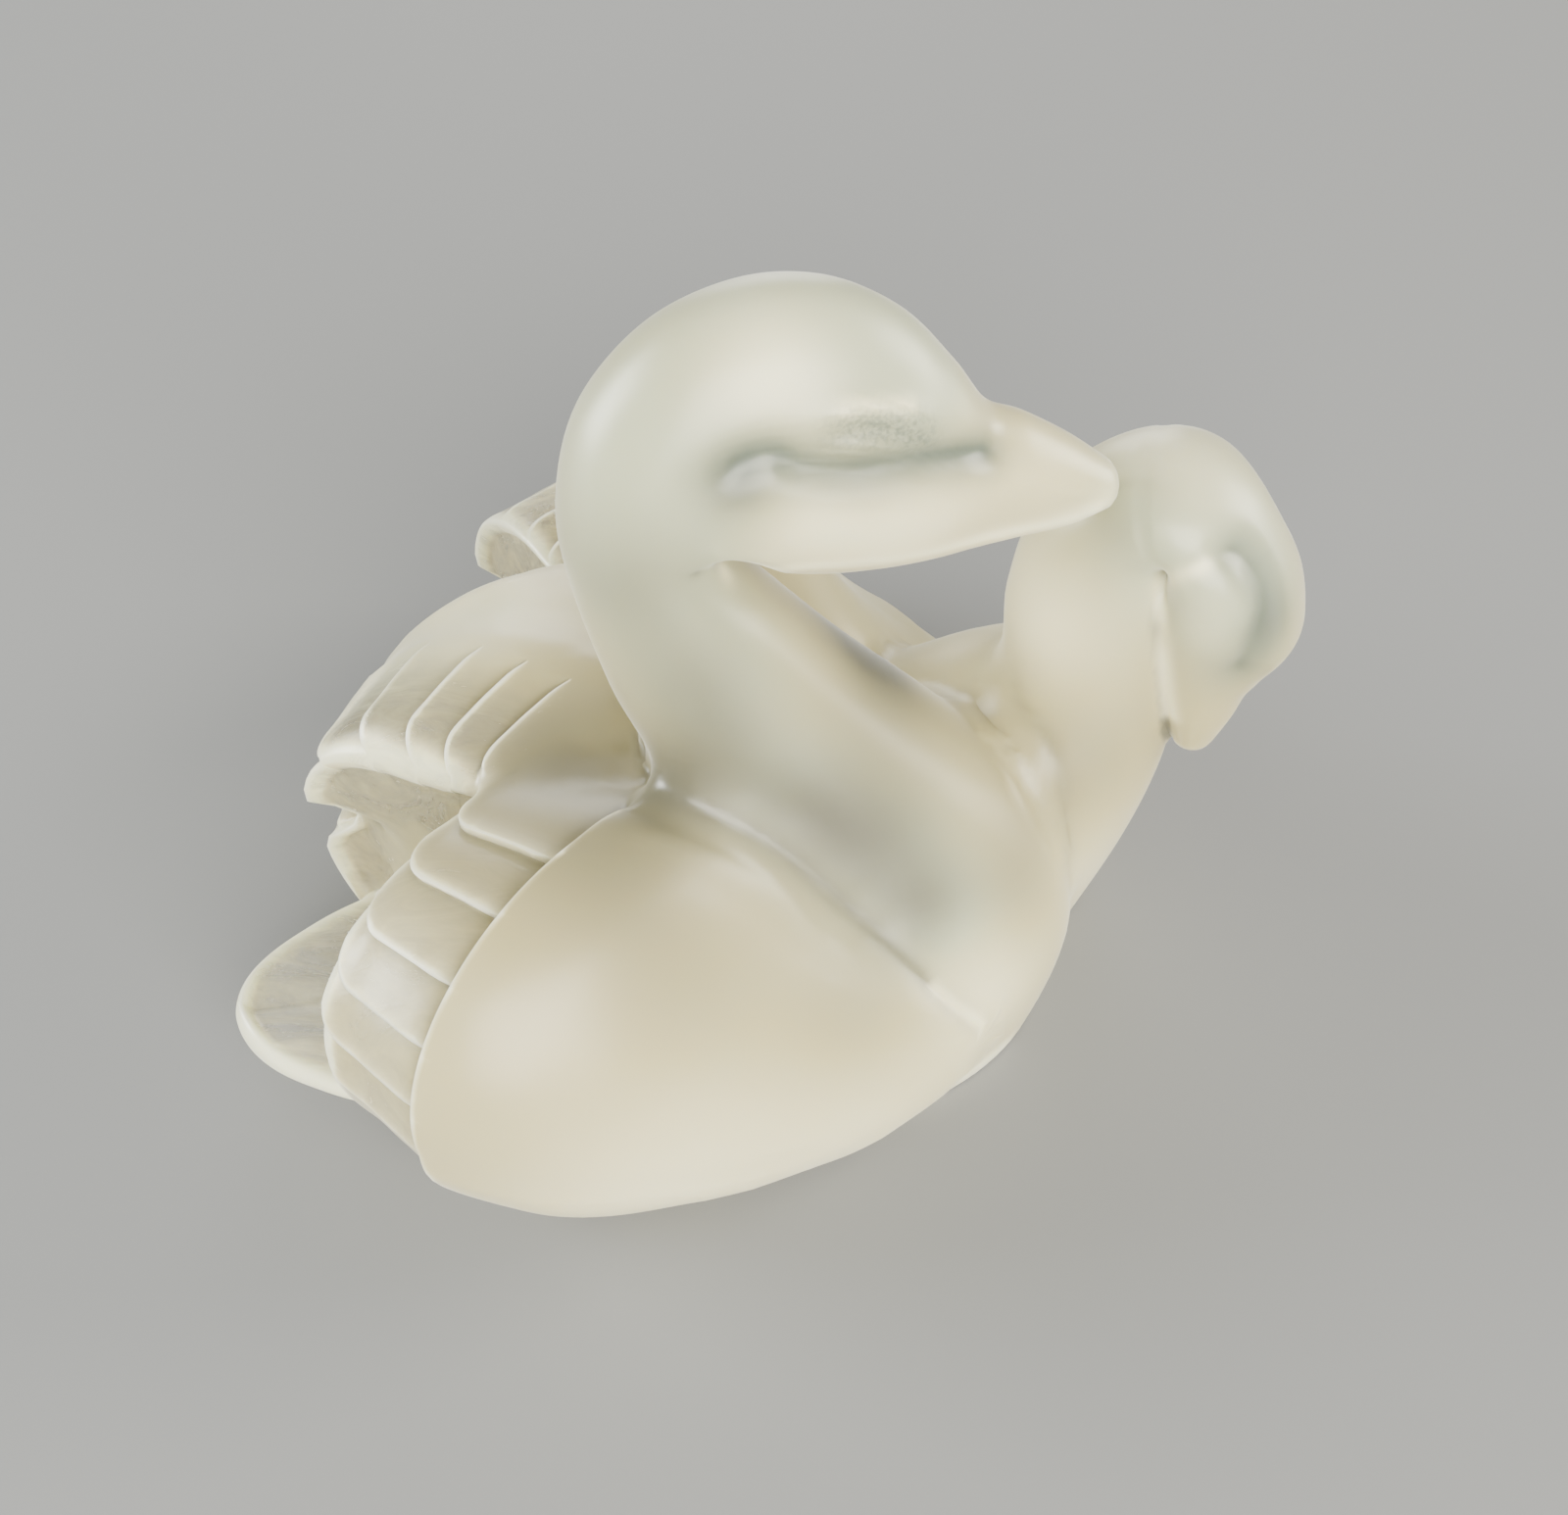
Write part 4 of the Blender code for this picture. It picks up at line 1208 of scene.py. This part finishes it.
class SwanPairStage(bpy.types.PropertyGroup):
    """The floor, the lights and the camera."""

    floor_colour: FloatVectorProperty(
        name="Floor Colour", description="Colour of the plain floor", size=3, default=(0.19, 0.193, 0.20),
        subtype="COLOR")
    floor_size: FloatProperty(
        name="Floor Size", description="Length of each side of the floor", default=6.0, unit="LENGTH")
    key_power: FloatProperty(
        name="Key Power", description="Power of the soft light beside the camera",
        default=37.0, unit="POWER")
    left_power: FloatProperty(
        name="Left Power", description="Power of the low light at the left", default=14.0, unit="POWER")
    right_power: FloatProperty(
        name="Right Power", description="Power of the low light at the right", default=9.5, unit="POWER")
    back_power: FloatProperty(
        name="Back Power", description="Power of the low light behind", default=3.0, unit="POWER")
    sky_strength: FloatProperty(
        name="Sky Strength", description="Strength of the even light all round", default=0.46, min=0.0)
    camera_distance: FloatProperty(
        name="Camera Distance", description="From the camera to the point that it looks at",
        default=0.197, unit="LENGTH")
    camera_azimuth: FloatProperty(
        name="Camera Azimuth", description="Turn of the camera round the pair",
        default=math.radians(3.65), subtype="ANGLE", unit="ROTATION")
    camera_elevation: FloatProperty(
        name="Camera Elevation", description="Height of the camera over the pair, as an angle",
        default=math.radians(45.0), subtype="ANGLE", unit="ROTATION")
    camera_roll: FloatProperty(
        name="Camera Roll", description="Tilt of the camera about its own axis",
        default=math.radians(-1.4), subtype="ANGLE", unit="ROTATION")
    look_height: FloatProperty(
        name="Look Height", description="Height of the point that the camera looks at",
        default=0.020, unit="LENGTH")
    focal_length: FloatProperty(
        name="Focal Length", description="Focal length of the camera, in millimetres of a 36 mm sensor",
        default=51.0)


class CastSwanPair(bpy.types.Operator):
    """Carve the swan pair and give it its frosted and polished crystal"""

    bl_idname = "mesh.cast_swan_pair"
    bl_label = "Cast Swan Pair"

    def execute(self, context):
        carving = context.scene.swan_pair_carving
        forms = swan_forms()
        names = [data.name for data, values in forms]
        copies = [(data.copy(), values) for data, values in forms]
        whole = fuse("swan_pair_casting", [data for data, values in forms])
        data = whole.data
        even_seams(data, trace_forms(data, copies)[2])
        owner, paint, seam = trace_forms(data, copies)
        blend_seams(data, owner, paint[:, PAINTS.index("polish")], seam, names)
        crease_shade = carve_creases(data)
        for name, values in painted_looks(data, paint, crease_shade, carving).items():
            data.attributes.new(name, "FLOAT", "POINT").data.foreach_set("value", values.astype(np.float32))
        data.transform(Matrix.Translation(carving.centre) @ Matrix.Scale(MM, 4))
        keep_in_box(data, *CAD_BOX)
        data.shade_smooth()
        data.set_sharp_from_angle(angle=math.radians(SHARP_ANGLE))
        data.materials.clear()
        data.materials.append(crystal_material(context.scene.swan_pair_look))
        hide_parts(NODE)
        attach(whole, "root")
        return {"FINISHED"}


class SetSwanStage(bpy.types.Operator):
    """Set the plain floor, the soft lights and the camera"""

    bl_idname = "scene.set_swan_stage"
    bl_label = "Set Swan Stage"

    def execute(self, context):
        stage = context.scene.swan_pair_stage
        floor = bpy.data.objects.new("floor", bpy.data.meshes.new("floor"))
        half = stage.floor_size / 2
        floor.data.from_pydata([(-half, -half, 0), (half, -half, 0), (half, half, 0), (-half, half, 0)], [],
                               [(0, 1, 2, 3)])
        floor.location.z = -FLOOR_GAP
        context.scene.collection.objects.link(floor)
        shading = Shading("pale_floor")
        surface = shading.add("ShaderNodeBsdfPrincipled", {}, {
            "Base Color": (*stage.floor_colour, 1.0), "Roughness": 0.7})
        shading.add_output(surface)
        floor.data.materials.append(shading.material)
        world = bpy.data.worlds.new("studio")
        context.scene.world = world
        world.use_nodes = True
        background = world.node_tree.nodes["Background"]
        background.inputs["Color"].default_value = (0.96, 0.98, 1.0, 1.0)
        background.inputs["Strength"].default_value = stage.sky_strength
        for name, power, size, place, colour in (
                ("key_light", stage.key_power, 0.8, (0.20, -0.75, 0.24), (1.0, 0.975, 0.86)),
                ("left_light", stage.left_power, 0.4, (-0.75, 0.05, 0.25), (0.98, 1.0, 0.93)),
                ("right_light", stage.right_power, 0.4, (0.72, 0.20, 0.25), (1.0, 0.96, 0.82)),
                ("back_light", stage.back_power, 0.4, (-0.05, 0.75, 0.25), (1.0, 0.98, 0.90))):
            light = bpy.data.lights.new(name, "AREA")
            light.energy = power
            light.size = size
            light.color = colour
            lamp = bpy.data.objects.new(name, light)
            lamp.location = place
            lamp.rotation_euler = (Vector(LIGHT_AIM) - Vector(place)).to_track_quat("-Z", "Y").to_euler()
            context.scene.collection.objects.link(lamp)
        self.set_camera(context, stage)
        return {"FINISHED"}

    def set_camera(self, context, stage):
        """Puts the camera at the photograph's viewing angle."""
        azimuth = stage.camera_azimuth
        elevation = stage.camera_elevation
        back = Vector((math.sin(azimuth) * math.cos(elevation), -math.cos(azimuth) * math.cos(elevation),
                       math.sin(elevation)))
        level = Vector((math.cos(azimuth), math.sin(azimuth), 0.0))
        above = back.cross(level)
        right = level * math.cos(stage.camera_roll) + above * math.sin(stage.camera_roll)
        up = above * math.cos(stage.camera_roll) - level * math.sin(stage.camera_roll)
        target = Vector(context.scene.swan_pair_carving.centre) + Vector((0.0, 0.0, stage.look_height))
        pose = Matrix((right, up, back)).transposed().to_4x4()
        pose.translation = target + back * stage.camera_distance
        lens = bpy.data.cameras.new("camera")
        lens.sensor_width = SENSOR_WIDTH
        lens.lens = stage.focal_length
        lens.clip_start = 0.01
        camera = bpy.data.objects.new("camera", lens)
        camera.matrix_world = pose
        context.scene.collection.objects.link(camera)
        context.scene.camera = camera


class SwanPairPanel(bpy.types.Panel):
    """The pair's settings, in the sidebar"""

    bl_idname = "VIEW3D_PT_swan_pair"
    bl_label = "Swan Pair"
    bl_space_type = "VIEW_3D"
    bl_region_type = "UI"
    bl_category = "Swan Pair"

    def draw(self, context):
        for group, operator in ((context.scene.swan_pair_carving, None),
                                (context.scene.swan_pair_look, CastSwanPair),
                                (context.scene.swan_pair_stage, SetSwanStage)):
            box = self.layout.box()
            for name in group.bl_rna.properties.keys():
                if name not in ("rna_type", "name"):
                    box.prop(group, name)
            if operator:
                box.operator(operator.bl_idname)


CLASSES = (SwanPairCarving, SwanPairLook, SwanPairStage, CastSwanPair, SetSwanStage, SwanPairPanel)
GROUPS = {"swan_pair_carving": SwanPairCarving, "swan_pair_look": SwanPairLook,
          "swan_pair_stage": SwanPairStage}


def register():
    """Registers the classes and hangs the settings on the scene."""
    for item in CLASSES:
        bpy.utils.register_class(item)
    for name, group in GROUPS.items():
        setattr(bpy.types.Scene, name, PointerProperty(type=group))


def unregister():
    """Takes the settings and the classes away again."""
    for name in GROUPS:
        delattr(bpy.types.Scene, name)
    for item in reversed(CLASSES):
        bpy.utils.unregister_class(item)


def main():
    """Builds the pair and its stage."""
    register()
    bpy.ops.mesh.cast_swan_pair()
    bpy.ops.scene.set_swan_stage()


if __name__ == "__main__":
    main()
